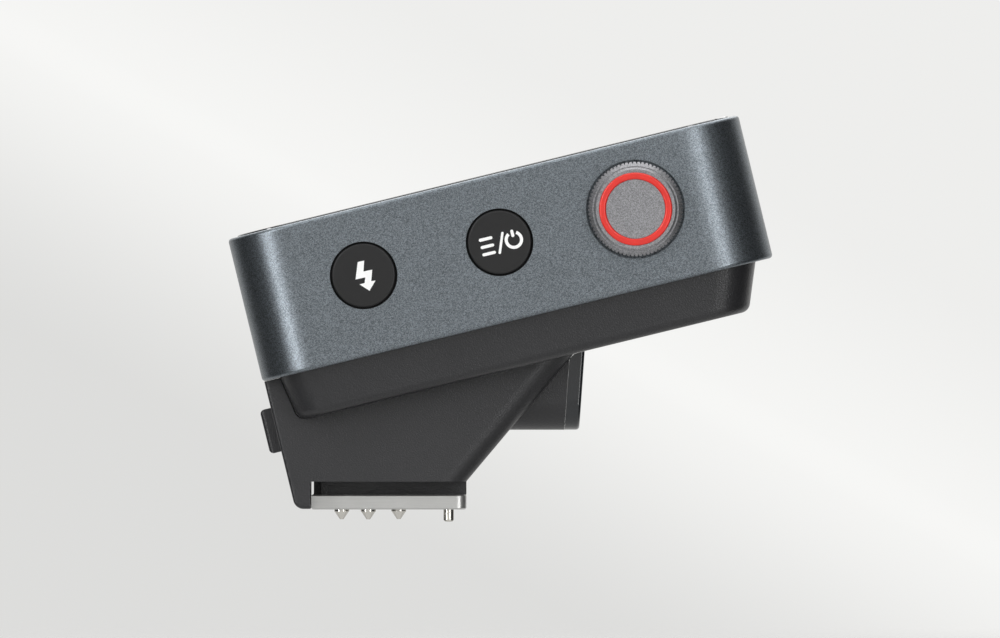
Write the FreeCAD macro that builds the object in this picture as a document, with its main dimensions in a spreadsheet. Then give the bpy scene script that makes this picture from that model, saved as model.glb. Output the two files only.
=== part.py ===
"""A wireless flash trigger for a camera's hot shoe, as an assembly of separate parts.

Two frames are used. The level frame belongs to the hot shoe: the origin is the centre of the foot's
underside, +X points to the subject, +Y to the photographer's left and +Z up. The slab that carries the
screen leans back, so its parts are drawn in the slab frame, which is the level frame turned about Y by
tilt_angle: x runs along the screen, y across it, and z along the screen's normal.
Every length is in millimetres and comes from the sheet called sizes.
"""

import FreeCAD
import Part
import Sketcher

import math
import os

Vector = FreeCAD.Vector
document = FreeCAD.newDocument("flash_trigger")
sheet = document.addObject("Spreadsheet::Sheet", "sizes")


class Size:
    """A number and the sheet formula that gives it.

    Sketches start from the number and are bound to the formula.
    """

    def __init__(self, number, formula):
        self.number = float(number)
        self.formula = formula

    def __add__(self, other):
        other = size_of(other)
        return Size(self.number + other.number, f"({self.formula} + {other.formula})")

    def __sub__(self, other):
        other = size_of(other)
        return Size(self.number - other.number, f"({self.formula} - {other.formula})")

    def __mul__(self, other):
        other = size_of(other)
        return Size(self.number * other.number, f"({self.formula} * {other.formula})")

    def __truediv__(self, other):
        other = size_of(other)
        return Size(self.number / other.number, f"({self.formula} / {other.formula})")

    def __rtruediv__(self, other):
        return size_of(other) / self

    def __radd__(self, other):
        return size_of(other) + self

    def __rsub__(self, other):
        return size_of(other) - self

    def __rmul__(self, other):
        return size_of(other) * self

    def __neg__(self):
        return 0 - self


def size_of(value):
    """A Size as it is, or a plain number as a Size."""
    if isinstance(value, Size):
        return value
    if value < 0:
        return Size(value, f"(0 - {abs(value)})")
    return Size(value, str(value))


def cell(alias, number, note):
    """One driving dimension: a row of the sheet with its note and its number."""
    row = len(sheet_rows) + 1
    sheet_rows.append(alias)
    sheet.set(f"A{row}", note)
    sheet.set(f"B{row}", str(number))
    sheet.setAlias(f"B{row}", alias)
    return Size(number, f"{sheet.Name}.{alias}")


sheet_rows = []

# The slab: the shell with the screen, and how it stands over the foot.
tilt_angle = cell("tilt_angle", 13.7, "lean of the slab, in degrees")
slab_length = cell("slab_length", 70.2, "shell, along the screen")
slab_width = cell("slab_width", 43.5, "shell, across the screen")
slab_back = cell("slab_back", 12.3, "shell's rear face behind the foot's centre")
rim_level = cell("rim_level", 20.6, "shell's lower rim above the foot's centre")
shell_height = cell("shell_height", 19.6, "shell, from lower rim to top")
shell_wall = cell("shell_wall", 1.8, "shell wall")
shell_corner = cell("shell_corner", 8.5, "shell's corner radius seen from above")
edge_round = cell("edge_round", 0.5, "rounding of the shell's rims")

# The screen.
glass_thickness = cell("glass_thickness", 1.1, "cover glass")
glass_inset = cell("glass_inset", 1.2, "shell's rim round the glass")
glass_gap = cell("glass_gap", 0.1, "gap round the glass")
glass_proud = cell("glass_proud", 0.2, "glass above the shell")
gasket_thickness = cell("gasket_thickness", 0.15, "adhesive under the glass")
ledge_thickness = cell("ledge_thickness", 1.2, "shelf that carries the glass")
display_length = cell("display_length", 57.0, "display, along the screen")
display_width = cell("display_width", 37.2, "display, across the screen")
display_thickness = cell("display_thickness", 1.8, "display module")
display_gap = cell("display_gap", 0.1, "gap round the display")

# The lower case under the shell.
case_inset = cell("case_inset", 2.4, "lower case inside the shell's outline")
case_height = cell("case_height", 6.2, "lower case below the shell's rim")
case_lean_rear = cell("case_lean_rear", 1.1, "inward lean of its rear wall")
case_lean_front = cell("case_lean_front", 2.4, "inward lean of its front wall")
case_lean_side = cell("case_lean_side", 1.1, "inward lean of its side walls")
case_corner = cell("case_corner", 5.2, "lower case's corner radius")
case_floor = cell("case_floor", 1.5, "lower case's floor")
case_wall = cell("case_wall", 1.5, "lower case's wall at the floor")
case_round = cell("case_round", 1.4, "rounding of its bottom edge")
case_collar = cell("case_collar", 2.4, "collar that stands up inside the shell")
collar_wall = cell("collar_wall", 1.6, "collar's wall")
shell_fit = cell("shell_fit", 0.1, "gap between collar and shell")

# The controls on the right-hand side wall.
control_level = cell("control_level", 10.6, "controls above the shell's lower rim")
control_place = cell("control_place", 35.17, "middle control in front of the shell's rear face")
control_pitch = cell("control_pitch", 18.65, "distance from control to control")
button_radius = cell("button_radius", 4.25, "button cap")
button_gap = cell("button_gap", 0.27, "gap round a button cap")
button_proud = cell("button_proud", 0.3, "button cap above the side wall")
button_travel = cell("button_travel", 0.4, "button stroke")
button_flange = cell("button_flange", 1.0, "flange beyond the button's hole")
button_flange_thickness = cell("button_flange_thickness", 0.8, "button's flange")
button_stem = cell("button_stem", 1.5, "button's stem, radius")
button_round = cell("button_round", 0.25, "rounding of a button's rim")
dial_radius = cell("dial_radius", 6.3, "dial over its knurl")
dial_gap = cell("dial_gap", 0.3, "gap round the dial")
dial_proud = cell("dial_proud", 3.0, "dial above the side wall")
dial_sunk = cell("dial_sunk", 1.5, "dial below the side wall")
dial_travel = cell("dial_travel", 0.5, "dial stroke when it is pressed")
dial_well = cell("dial_well", 2.2, "depth of the well round the dial")
dial_well_floor = cell("dial_well_floor", 0.8, "floor of the well")
dial_face_radius = cell("dial_face_radius", 5.55, "dial's raised face")
dial_face_step = cell("dial_face_step", 1.15, "raised face above the knurl")
dial_bevel = cell("dial_bevel", 0.55, "bevel from the knurl to the face")
knurl_count = cell("knurl_count", 72, "teeth round the dial")
knurl_depth = cell("knurl_depth", 0.3, "depth of the knurl")
ring_inner = cell("ring_inner", 3.93, "coloured ring, inner radius")
ring_outer = cell("ring_outer", 4.9, "coloured ring, outer radius")
ring_depth = cell("ring_depth", 0.5, "groove for the coloured ring")
ring_proud = cell("ring_proud", 0.28, "coloured ring above the dial's face")
ring_play = cell("ring_play", 0.02, "coloured ring's play in its groove")
shaft_socket = cell("shaft_socket", 1.3, "shaft inside the dial")
shaft_radius = cell("shaft_radius", 2.0, "encoder shaft")
running_gap = cell("running_gap", 0.06, "radial play of what turns or slides")
key_board_thickness = cell("key_board_thickness", 0.8, "key board")
key_board_place = cell("key_board_place", 7.6, "key board's face behind the side wall's outer face")
key_board_end = cell("key_board_end", 4.3, "key board's rear end behind the test button")
key_board_drop = cell("key_board_drop", 0.7, "key board's top below the display")
encoder_depth = cell("encoder_depth", 3.6, "encoder body")
encoder_bore = cell("encoder_bore", 3.1, "depth of the encoder's bore")
encoder_plunger_thickness = cell("encoder_plunger_thickness", 0.6, "encoder's push disc")
encoder_side = cell("encoder_side", 10.0, "encoder body's sides")
switch_depth = cell("switch_depth", 1.5, "key switch body")
switch_side = cell("switch_side", 5.2, "key switch body's sides")
plunger_radius = cell("plunger_radius", 1.1, "key switch plunger")
plunger_proud = cell("plunger_proud", 0.9, "plunger above the key switch")
plunger_sunk = cell("plunger_sunk", 0.7, "plunger inside the key switch")

# The shoe housing below the lower case, and the focus lamp in front of it.
housing_width = cell("housing_width", 26.0, "shoe housing across")
housing_wall = cell("housing_wall", 1.6, "shoe housing's wall")
housing_rear_step = cell("housing_rear_step", 0.2, "housing's rear face inside the shell's")
housing_slope = cell("housing_slope", 50.0, "rise of the housing's front face, in degrees")
housing_round = cell("housing_round", 2.8, "rounding of the front face's side edges")
lip_level = cell("lip_level", 0.1, "lip's end above the foot's underside")
lip_round = cell("lip_round", 1.4, "rounding of the lip's end")
lamp_width = cell("lamp_width", 18.0, "focus lamp across")
lamp_level = cell("lamp_level", 10.65, "lamp's underside above the foot's underside")
lamp_reach = cell("lamp_reach", 25.5, "lamp's front in front of the foot's centre, at its foot")
lamp_lean = cell("lamp_lean", 4.0, "forward lean of the lamp's front, in degrees")
lamp_cover = cell("lamp_cover", 2.0, "lamp's window")
lamp_round = cell("lamp_round", 4.0, "rounding of the lamp's lower side edges")
lamp_wall = cell("lamp_wall", 1.2, "floor below the lamp's pocket")
lamp_pocket_width = cell("lamp_pocket_width", 10.4, "lamp's pocket across")
lamp_pocket_height = cell("lamp_pocket_height", 2.65, "lamp's pocket")
lamp_pocket_depth = cell("lamp_pocket_depth", 2.8, "lamp's pocket, backwards from its mouth")
lamp_board_thickness = cell("lamp_board_thickness", 0.8, "lamp's board")
lamp_diode_side = cell("lamp_diode_side", 1.8, "lamp's diode, its sides")
lamp_diode_depth = cell("lamp_diode_depth", 1.2, "lamp's diode, forwards")
lamp_dome = cell("lamp_dome", 0.72, "lens on the lamp's diode, radius")
lamp_dome_height = cell("lamp_dome_height", 0.4, "lens on the lamp's diode, forwards")

# The foot: an accessory-shoe foot to ISO 518.
foot_length = cell("foot_length", 20.76, "foot plate, along the shoe")
foot_width = cell("foot_width", 18.5, "foot plate, across the shoe")
foot_thickness = cell("foot_thickness", 2.0, "foot plate")
foot_corner = cell("foot_corner", 1.3, "foot plate's front corners")
foot_bevel = cell("foot_bevel", 0.2, "bevel of the foot plate's edges")
insert_wall = cell("insert_wall", 0.7, "contact insert round its contacts")
neck_width = cell("neck_width", 12.3, "neck between the shoe's rails")
neck_height = cell("neck_height", 1.75, "gap for the shoe's rails")
neck_start = cell("neck_start", 1.3, "neck's rear end in front of the plate's")
tongue_width = cell("tongue_width", 7.0, "neck's tongue across, behind the foot's centre")
tongue_gap = cell("tongue_gap", 0.3, "slit behind the tongue")
lip_gap = cell("lip_gap", 0.12, "gap between the foot plate and the lip")
clamp_thickness = cell("clamp_thickness", 1.0, "clamp plate inside the housing")
clamp_edge = cell("clamp_edge", 1.4, "clamp plate beyond its outer holes")
contact_board_thickness = cell("contact_board_thickness", 0.8, "board above the contacts")
arch_radius = cell("arch_radius", 4.6, "radius of the arched relief in the neck")
arch_height = cell("arch_height", 1.15, "height of the relief")
arch_depth = cell("arch_depth", 0.5, "depth of the relief")
contact_radius = cell("contact_radius", 1.0, "contact pin")
contact_reach = cell("contact_reach", 1.37, "contact pin below the plate")
contact_tip = cell("contact_tip", 0.25, "radius of a contact's tip")
contact_shoulder = cell("contact_shoulder", 0.3, "straight part of a contact below the plate")
contact_bore = cell("contact_bore", 1.25, "bore for a contact's collar")
contact_collar = cell("contact_collar", 0.6, "height of a contact's collar")
contact_wall = cell("contact_wall", 0.35, "least wall round a contact's bore")
contact_row_front = cell("contact_row_front", 1.3, "centre contact in front of the foot's centre")
contact_row_middle = cell("contact_row_middle", 2.77, "middle contacts behind the foot's centre")
contact_row_rear = cell("contact_row_rear", 6.35, "rear contacts behind the foot's centre")
contact_span_middle = cell("contact_span_middle", 3.9, "middle contacts beside the centre line")
contact_span_rear = cell("contact_span_rear", 2.1, "rear contacts beside the centre line")
spring_wire = cell("spring_wire", 0.2, "wire of the springs")
contact_coil = cell("contact_coil", 0.8, "contact springs, mean radius")
lock_coil = cell("lock_coil", 1.2, "lock spring, mean radius")
lock_place = cell("lock_place", 8.0, "lock pin in front of the foot's centre")
lock_radius = cell("lock_radius", 0.7, "lock pin's end")
lock_shank = cell("lock_shank", 0.9, "lock pin's shank")
lock_spigot = cell("lock_spigot", 0.6, "spigot in the lock spring, radius and height")
lock_reach = cell("lock_reach", 1.73, "lock pin below the plate")
lock_travel = cell("lock_travel", 1.9, "lock pin stroke")
lock_head = cell("lock_head", 3.0, "lock pin's head, along the foot")
lock_head_width = cell("lock_head_width", 5.2, "lock pin's head, across the foot")
lock_head_level = cell("lock_head_level", 12.2, "top of the lock pin's head")
lock_seat = cell("lock_seat", 1.8, "half side of the lock spring's upper seat")
lock_seat_level = cell("lock_seat_level", 16.3, "underside of the lock spring's upper seat")
ramp_level = cell("ramp_level", 9.42, "slider's ramp where it crosses the lock pin's axis")
ramp_gap = cell("ramp_gap", 0.08, "play between the ramp and the lock pin's head")
release_travel = cell("release_travel", 1.2, "release button stroke")
release_proud = cell("release_proud", 1.6, "release button behind the housing's rear face")
release_width = cell("release_width", 12.0, "release button across")
release_height = cell("release_height", 6.0, "release button, along the rear face")
release_level = cell("release_level", 13.95, "release button's centre above the foot's centre")
release_pocket_depth = cell("release_pocket_depth", 1.9, "pocket for the release button's upper part")
release_gap = cell("release_gap", 0.15, "gap round the release button")
release_lap = cell("release_lap", 1.0, "stop flange beyond the release button")
release_stop_thickness = cell("release_stop_thickness", 0.8, "stop flange")
release_round = cell("release_round", 0.6, "rounding of the release button's face")
slider_level = cell("slider_level", 10.2, "underside of the slider's bar")
slider_thickness = cell("slider_thickness", 1.2, "slider's bar")
slider_width = cell("slider_width", 6.0, "slider across")
slider_foot_level = cell("slider_foot_level", 5.6, "underside of the slider's ramp block")
slider_block = cell("slider_block", 6.5, "rear face of the ramp block")
slider_slot = cell("slider_slot", 7.3, "rear end of the slider's slot")
slider_slot_gap = cell("slider_slot_gap", 0.15, "slot round the lock pin")

# Fasteners and what lies inside.
post_radius = cell("post_radius", 2.0, "screw posts")
rib_thickness = cell("rib_thickness", 1.5, "ribs that tie the shell's posts to its ends")
screw_radius = cell("screw_radius", 0.7, "screw shanks")
screw_head = cell("screw_head", 1.25, "screw heads")
screw_head_height = cell("screw_head_height", 0.8, "screw head height")
screw_sunk = cell("screw_sunk", 0.1, "screw heads below their surface")
screw_gap = cell("screw_gap", 0.1, "play round a screw")
thread_gap = cell("thread_gap", 0.03, "play round a screw in its thread")
case_thread = cell("case_thread", 3.0, "case screws in the shell's posts")
housing_thread = cell("housing_thread", 4.4, "housing screws in the housing's posts")
housing_post = cell("housing_post", 1.9, "housing's screw posts, radius")
post_floor = cell("post_floor", 0.5, "closed end of a screw post")
post_rear = cell("post_rear", 6.7, "rear case screws in front of the shell's rear face")
post_front = cell("post_front", 8.0, "front case screws behind the shell's front face")
post_side = cell("post_side", 6.55, "case screws inside the shell's side walls")
housing_post_side = cell("housing_post_side", 2.8, "housing screws inside the housing's side walls")
housing_post_rear = cell("housing_post_rear", 6.7, "rear housing screws, from the housing's rear face")
housing_post_front = cell("housing_post_front", 24.0, "front housing screws, from that face")
foot_screw_rear = cell("foot_screw_rear", 7.6, "rear foot screws behind the foot's centre")
foot_screw_front = cell("foot_screw_front", 6.3, "front foot screws in front of the foot's centre")
foot_screw_side = cell("foot_screw_side", 5.1, "foot screws beside the centre line")
recess_length = cell("recess_length", 1.5, "cross recess in a screw head")
recess_width = cell("recess_width", 0.3, "arm of a cross recess")
recess_depth = cell("recess_depth", 0.45, "depth of a cross recess")
board_thickness = cell("board_thickness", 1.0, "main board")
board_inset = cell("board_inset", 1.35, "main board inside the shell's inner walls")
shield_length = cell("shield_length", 18.0, "radio's shield, along the slab")
shield_width = cell("shield_width", 14.0, "radio's shield, across the slab")
shield_height = cell("shield_height", 2.2, "radio's shield")
shield_place = cell("shield_place", 24.3, "radio's shield in front of the shell's rear face")
shield_side = cell("shield_side", 3.0, "radio's shield beside the centre line, its middle")
shield_round = cell("shield_round", 0.5, "radio's shield's corners")
chip_side = cell("chip_side", 4.0, "chips, their sides")
chip_height = cell("chip_height", 0.9, "chips")
chip_pitch = cell("chip_pitch", 5.6, "distance from chip to chip")
chip_place = cell("chip_place", 46.3, "first chip in front of the shell's rear face")
chip_row = cell("chip_row", 8.0, "chips beside the centre line")
buzzer_radius = cell("buzzer_radius", 4.5, "buzzer")
buzzer_height = cell("buzzer_height", 3.0, "buzzer")
buzzer_port = cell("buzzer_port", 0.9, "buzzer's sound hole, radius and depth")
buzzer_place = cell("buzzer_place", 56.3, "buzzer in front of the shell's rear face")
buzzer_side = cell("buzzer_side", 9.5, "buzzer beside the centre line")
ribbon_thickness = cell("ribbon_thickness", 0.2, "flat cables")
ribbon_width = cell("ribbon_width", 2.0, "contacts' flat cable")
ribbon_place = cell("ribbon_place", 6.1, "contacts' flat cable behind the foot's centre")
ribbon_side = cell("ribbon_side", 3.4, "contacts' flat cable beside the centre line")
ribbon_slot = cell("ribbon_slot", 0.6, "half length of the slot that it passes through")
display_ribbon_width = cell("display_ribbon_width", 12.0, "display's flat cable")
display_ribbon_inset = cell("display_ribbon_inset", 0.6, "display's flat cable behind its front edge")
battery_round = cell("battery_round", 1.5, "battery's corners")
battery_length = cell("battery_length", 46.0, "battery, along the slab")
battery_width = cell("battery_width", 30.0, "battery across")
battery_height = cell("battery_height", 5.0, "battery")
usb_place = cell("usb_place", 42.3, "charging socket in front of the shell's rear face")
usb_width = cell("usb_width", 8.94, "charging socket's shell, along the side wall")
usb_height = cell("usb_height", 3.26, "charging socket's shell")
usb_depth = cell("usb_depth", 7.35, "charging socket's shell, inwards")
usb_wall = cell("usb_wall", 0.3, "charging socket's shell wall")
usb_tongue_width = cell("usb_tongue_width", 6.7, "charging socket's tongue")
usb_tongue_thickness = cell("usb_tongue_thickness", 0.7, "charging socket's tongue")
usb_tongue_length = cell("usb_tongue_length", 4.5, "charging socket's tongue, outwards")
jack_place = cell("jack_place", 24.3, "sync jack in front of the shell's rear face")
jack_radius = cell("jack_radius", 1.3, "sync jack's bore")
jack_depth = cell("jack_depth", 10.5, "sync jack's bore, inwards")
jack_side = cell("jack_side", 5.0, "sync jack's body, its sides")
jack_body = cell("jack_body", 10.5, "sync jack's body, inwards")
jack_nose = cell("jack_nose", 2.2, "sync jack's nose")
port_sunk = cell("port_sunk", 0.5, "ports' mouths below the side wall")
port_gap = cell("port_gap", 0.2, "gap round the ports")
hair = cell("hair", 0.05, "gap between pieces that only meet")

sine = Size(math.sin(math.radians(tilt_angle.number)), f"sin({tilt_angle.formula})")
cosine = Size(math.cos(math.radians(tilt_angle.number)), f"cos({tilt_angle.formula})")
slope_tangent = Size(
    math.tan(math.radians(housing_slope.number)), f"tan({housing_slope.formula})"
)
slope_sine = Size(math.sin(math.radians(housing_slope.number)), f"sin({housing_slope.formula})")
lean_tangent = Size(math.tan(math.radians(lamp_lean.number)), f"tan({lamp_lean.formula})")

# Planes and lines that several parts share. Slab frame:
half_width = slab_width / 2
rear_face = -slab_back
front_face = slab_length - slab_back
shell_top = rim_level + shell_height
glass_floor = shell_top - (glass_thickness + gasket_thickness - glass_proud)
glass_underside = glass_floor + gasket_thickness
display_underside = glass_underside - display_thickness
ledge_underside = glass_floor - ledge_thickness
display_middle = slab_length / 2 - slab_back
wall_inside = half_width - shell_wall
case_bottom = rim_level - case_height
case_inside = case_bottom + case_floor
collar_top = rim_level + case_collar
board_top = collar_top + board_thickness
control_height = rim_level + control_level
mode_place = rear_face + control_place
test_place = mode_place - control_pitch
dial_place = mode_place + control_pitch
key_board_face = half_width - key_board_place
encoder_bottom = key_board_face + encoder_depth - encoder_bore
shaft_end = encoder_bottom + dial_travel + encoder_plunger_thickness + 3 * hair
shaft_top = half_width - dial_sunk + shaft_socket
port_mouth = half_width - port_sunk
usb_x = rear_face + usb_place
usb_z = board_top + usb_height / 2
jack_x = rear_face + jack_place
jack_z = board_top + jack_side / 2
screw_rows = (rear_face + post_rear, front_face - post_front)
screw_side = half_width - post_side
case_rear_top = rear_face + case_inset
case_rear_bottom = case_rear_top + case_lean_rear
case_front_top = front_face - case_inset
case_front_bottom = case_front_top - case_lean_front
case_side_top = half_width - case_inset
case_side_bottom = case_side_top - case_lean_side

# Level frame:
foot_front = foot_length / 2
foot_rear = -foot_front
neck_top = foot_thickness + neck_height
housing_floor_top = neck_top + housing_wall
clamp_top = housing_floor_top + clamp_thickness
housing_rear = rear_face + housing_rear_step
half_housing = housing_width / 2


housing_screw_rows = (housing_rear + housing_post_rear, housing_rear + housing_post_front)
housing_screw_side = half_housing - housing_post_side
foot_screw_rows = (-foot_screw_rear, foot_screw_front)
contact_places = {
    "front": (contact_row_front, size_of(0)),
    "middle_left": (-contact_row_middle, contact_span_middle),
    "middle_right": (-contact_row_middle, -contact_span_middle),
    "rear_left": (-contact_row_rear, contact_span_rear),
    "rear_right": (-contact_row_rear, -contact_span_rear),
}


def slab_point(x, z):
    """Level X and Z of a point given in the slab frame."""
    return x * cosine - z * sine, x * sine + z * cosine


def slab_coordinates(x, z):
    """The slab frame's x and z of a point given in the level frame."""
    return x * cosine + z * sine, z * cosine - x * sine


def slab_line_x(x, level):
    """Level X where the slab frame's line at x crosses a level height."""
    return (x - level * sine) / cosine


def slab_plane_z(z, across):
    """Level Z of the slab frame's plane at z, above a level X."""
    return (z + across * sine) / cosine


def slope_x(level):
    """Level X of the housing's front face at a level height."""
    return foot_front + (level - neck_top) / slope_tangent


def lamp_seam(level):
    """Level X of the seam between the lamp's box and its window at a level height."""
    return lamp_reach - lamp_cover + (level - lamp_level) * lean_tangent


# Where the housing's sloping front, its inner face and the lamp's front meet the lower case, in level X,
# and where the lamp's seam meets the sloping front.
case_rise = case_bottom / cosine
slope_shift = 1 - sine / cosine / slope_tangent
wall_shift = housing_wall / slope_sine
slope_top_x = (foot_front + (case_rise - neck_top) / slope_tangent) / slope_shift
slope_inside_x = (foot_front - wall_shift + (case_rise - neck_top) / slope_tangent) / slope_shift
lamp_front_x = (lamp_reach + (case_rise - lamp_level) * lean_tangent) / (1 - lean_tangent * sine / cosine)
seam_top_z = (lamp_seam(size_of(0)) - slope_x(size_of(0))) / (1 / slope_tangent - lean_tangent)
seam_top_x = lamp_seam(seam_top_z)
lamp_pocket_top = lamp_level + lamp_wall + lamp_pocket_height
lamp_pocket_back = lamp_seam(lamp_pocket_top) + hair - lamp_pocket_depth

# The release button, and the slider whose ramp lifts the lock pin. The ramp's slope follows the strokes.
release_low = release_level - release_height / 2
release_high = release_level + release_height / 2
release_face = housing_rear - release_proud
release_pocket = housing_rear + release_pocket_depth
release_back = release_pocket - release_travel - release_gap
release_step = case_bottom - 4 * hair
release_stop = housing_rear + housing_wall + 2 * hair
slider_rear = release_stop + release_stop_thickness
slider_top = slider_level + slider_thickness
ramp_point = slab_coordinates(lock_place, ramp_level)


def ramp_x(z):
    """The slab frame's x of the slider's ramp at a height in the slab frame."""
    run = (release_travel - lock_travel * sine) / (lock_travel * cosine)
    return ramp_point[0] - (z - ramp_point[1]) * run


def head_slope_z(x):
    """Level Z of the sloping underside of the lock pin's head, parallel to the ramp."""
    rise = (lock_travel - release_travel * sine) / (release_travel * cosine)
    return ramp_level + ramp_gap + (lock_place - x) * rise


def bind(thing, path, value):
    """Binds a property to the sheet, or sets it where it is a plain number."""
    thing.setExpression(path, size_of(value).formula)


class Outline:
    """A sketch on an origin plane of a body, with its own origin at a bound point of that plane."""

    def __init__(self, piece, plane, level=0, across=0, up=0):
        self.piece = piece
        self.sketch = piece.body.newObject("Sketcher::SketchObject", piece.body.Label + "_outline")
        origin_plane = next(f for f in piece.body.Origin.OriginFeatures if f.Role == plane + "_Plane")
        self.sketch.AttachmentSupport = [(origin_plane, "")]
        self.sketch.MapMode = "FlatFace"
        bind(self.sketch, "AttachmentOffset.Base.x", across)
        bind(self.sketch, "AttachmentOffset.Base.y", up)
        bind(self.sketch, "AttachmentOffset.Base.z", level)

    def _constrain(self, value, *words):
        value = size_of(value)
        index = self.sketch.addConstraint(Sketcher.Constraint(*words, value.number))
        self.sketch.setExpression(f"Constraints[{index}]", value.formula)

    def _place(self, geometry, point, across, up):
        self._constrain(across, "DistanceX", -1, 1, geometry, point)
        self._constrain(up, "DistanceY", -1, 1, geometry, point)

    def polygon(self, points):
        """A closed outline of straight lines, each corner bound in both directions."""
        points = [(size_of(a), size_of(b)) for a, b in points]
        places = [Vector(a.number, b.number, 0) for a, b in points]
        lines = [
            self.sketch.addGeometry(Part.LineSegment(a, b), False)
            for a, b in zip(places, places[1:] + places[:1])
        ]
        for here, following in zip(lines, lines[1:] + lines[:1]):
            self.sketch.addConstraint(Sketcher.Constraint("Coincident", here, 2, following, 1))
        for line, (across, up) in zip(lines, points):
            self._place(line, 1, across, up)
        return self

    def rectangle(self, left, right, low, high):
        return self.polygon([(left, low), (right, low), (right, high), (left, high)])

    def circle(self, radius, across=0, up=0):
        radius, across, up = size_of(radius), size_of(across), size_of(up)
        round_line = Part.Circle(Vector(across.number, up.number, 0), Vector(0, 0, 1), radius.number)
        geometry = self.sketch.addGeometry(round_line, False)
        self._place(geometry, 3, across, up)
        self._constrain(radius, "Radius", geometry)
        return self

    def rounded(self, left, right, low, high, corner):
        """A rectangle with round corners: four lines and four arcs, tangent to each other."""
        left, right, low, high = size_of(left), size_of(right), size_of(low), size_of(high)
        corner = size_of(corner)
        a, b, c, d, r = left.number, right.number, low.number, high.number, corner.number
        ends = [
            ((a + r, c), (b - r, c), (b - r, c + r), -90),
            ((b, c + r), (b, d - r), (b - r, d - r), 0),
            ((b - r, d), (a + r, d), (a + r, d - r), 90),
            ((a, d - r), (a, c + r), (a + r, c + r), 180),
        ]
        chain = []
        for start, end, centre, angle in ends:
            side = Part.LineSegment(Vector(*start, 0), Vector(*end, 0))
            turn = Part.Circle(Vector(*centre, 0), Vector(0, 0, 1), r)
            sweep = math.radians(angle), math.radians(angle + 90)
            chain.append(self.sketch.addGeometry(side, False))
            chain.append(self.sketch.addGeometry(Part.ArcOfCircle(turn, *sweep), False))
        for here, following in zip(chain, chain[1:] + chain[:1]):
            self.sketch.addConstraint(Sketcher.Constraint("Tangent", here, 2, following, 1))
        for line, direction in zip(chain[::2], ("Horizontal", "Vertical") * 2):
            self.sketch.addConstraint(Sketcher.Constraint(direction, line))
        for arc in chain[3::2]:
            self.sketch.addConstraint(Sketcher.Constraint("Equal", chain[1], arc))
        self._constrain(corner, "Radius", chain[1])
        self._constrain(low, "DistanceY", -1, 1, chain[0], 1)
        self._constrain(right, "DistanceX", -1, 1, chain[2], 1)
        self._constrain(high, "DistanceY", -1, 1, chain[4], 1)
        self._constrain(left, "DistanceX", -1, 1, chain[6], 1)
        return self


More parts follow.
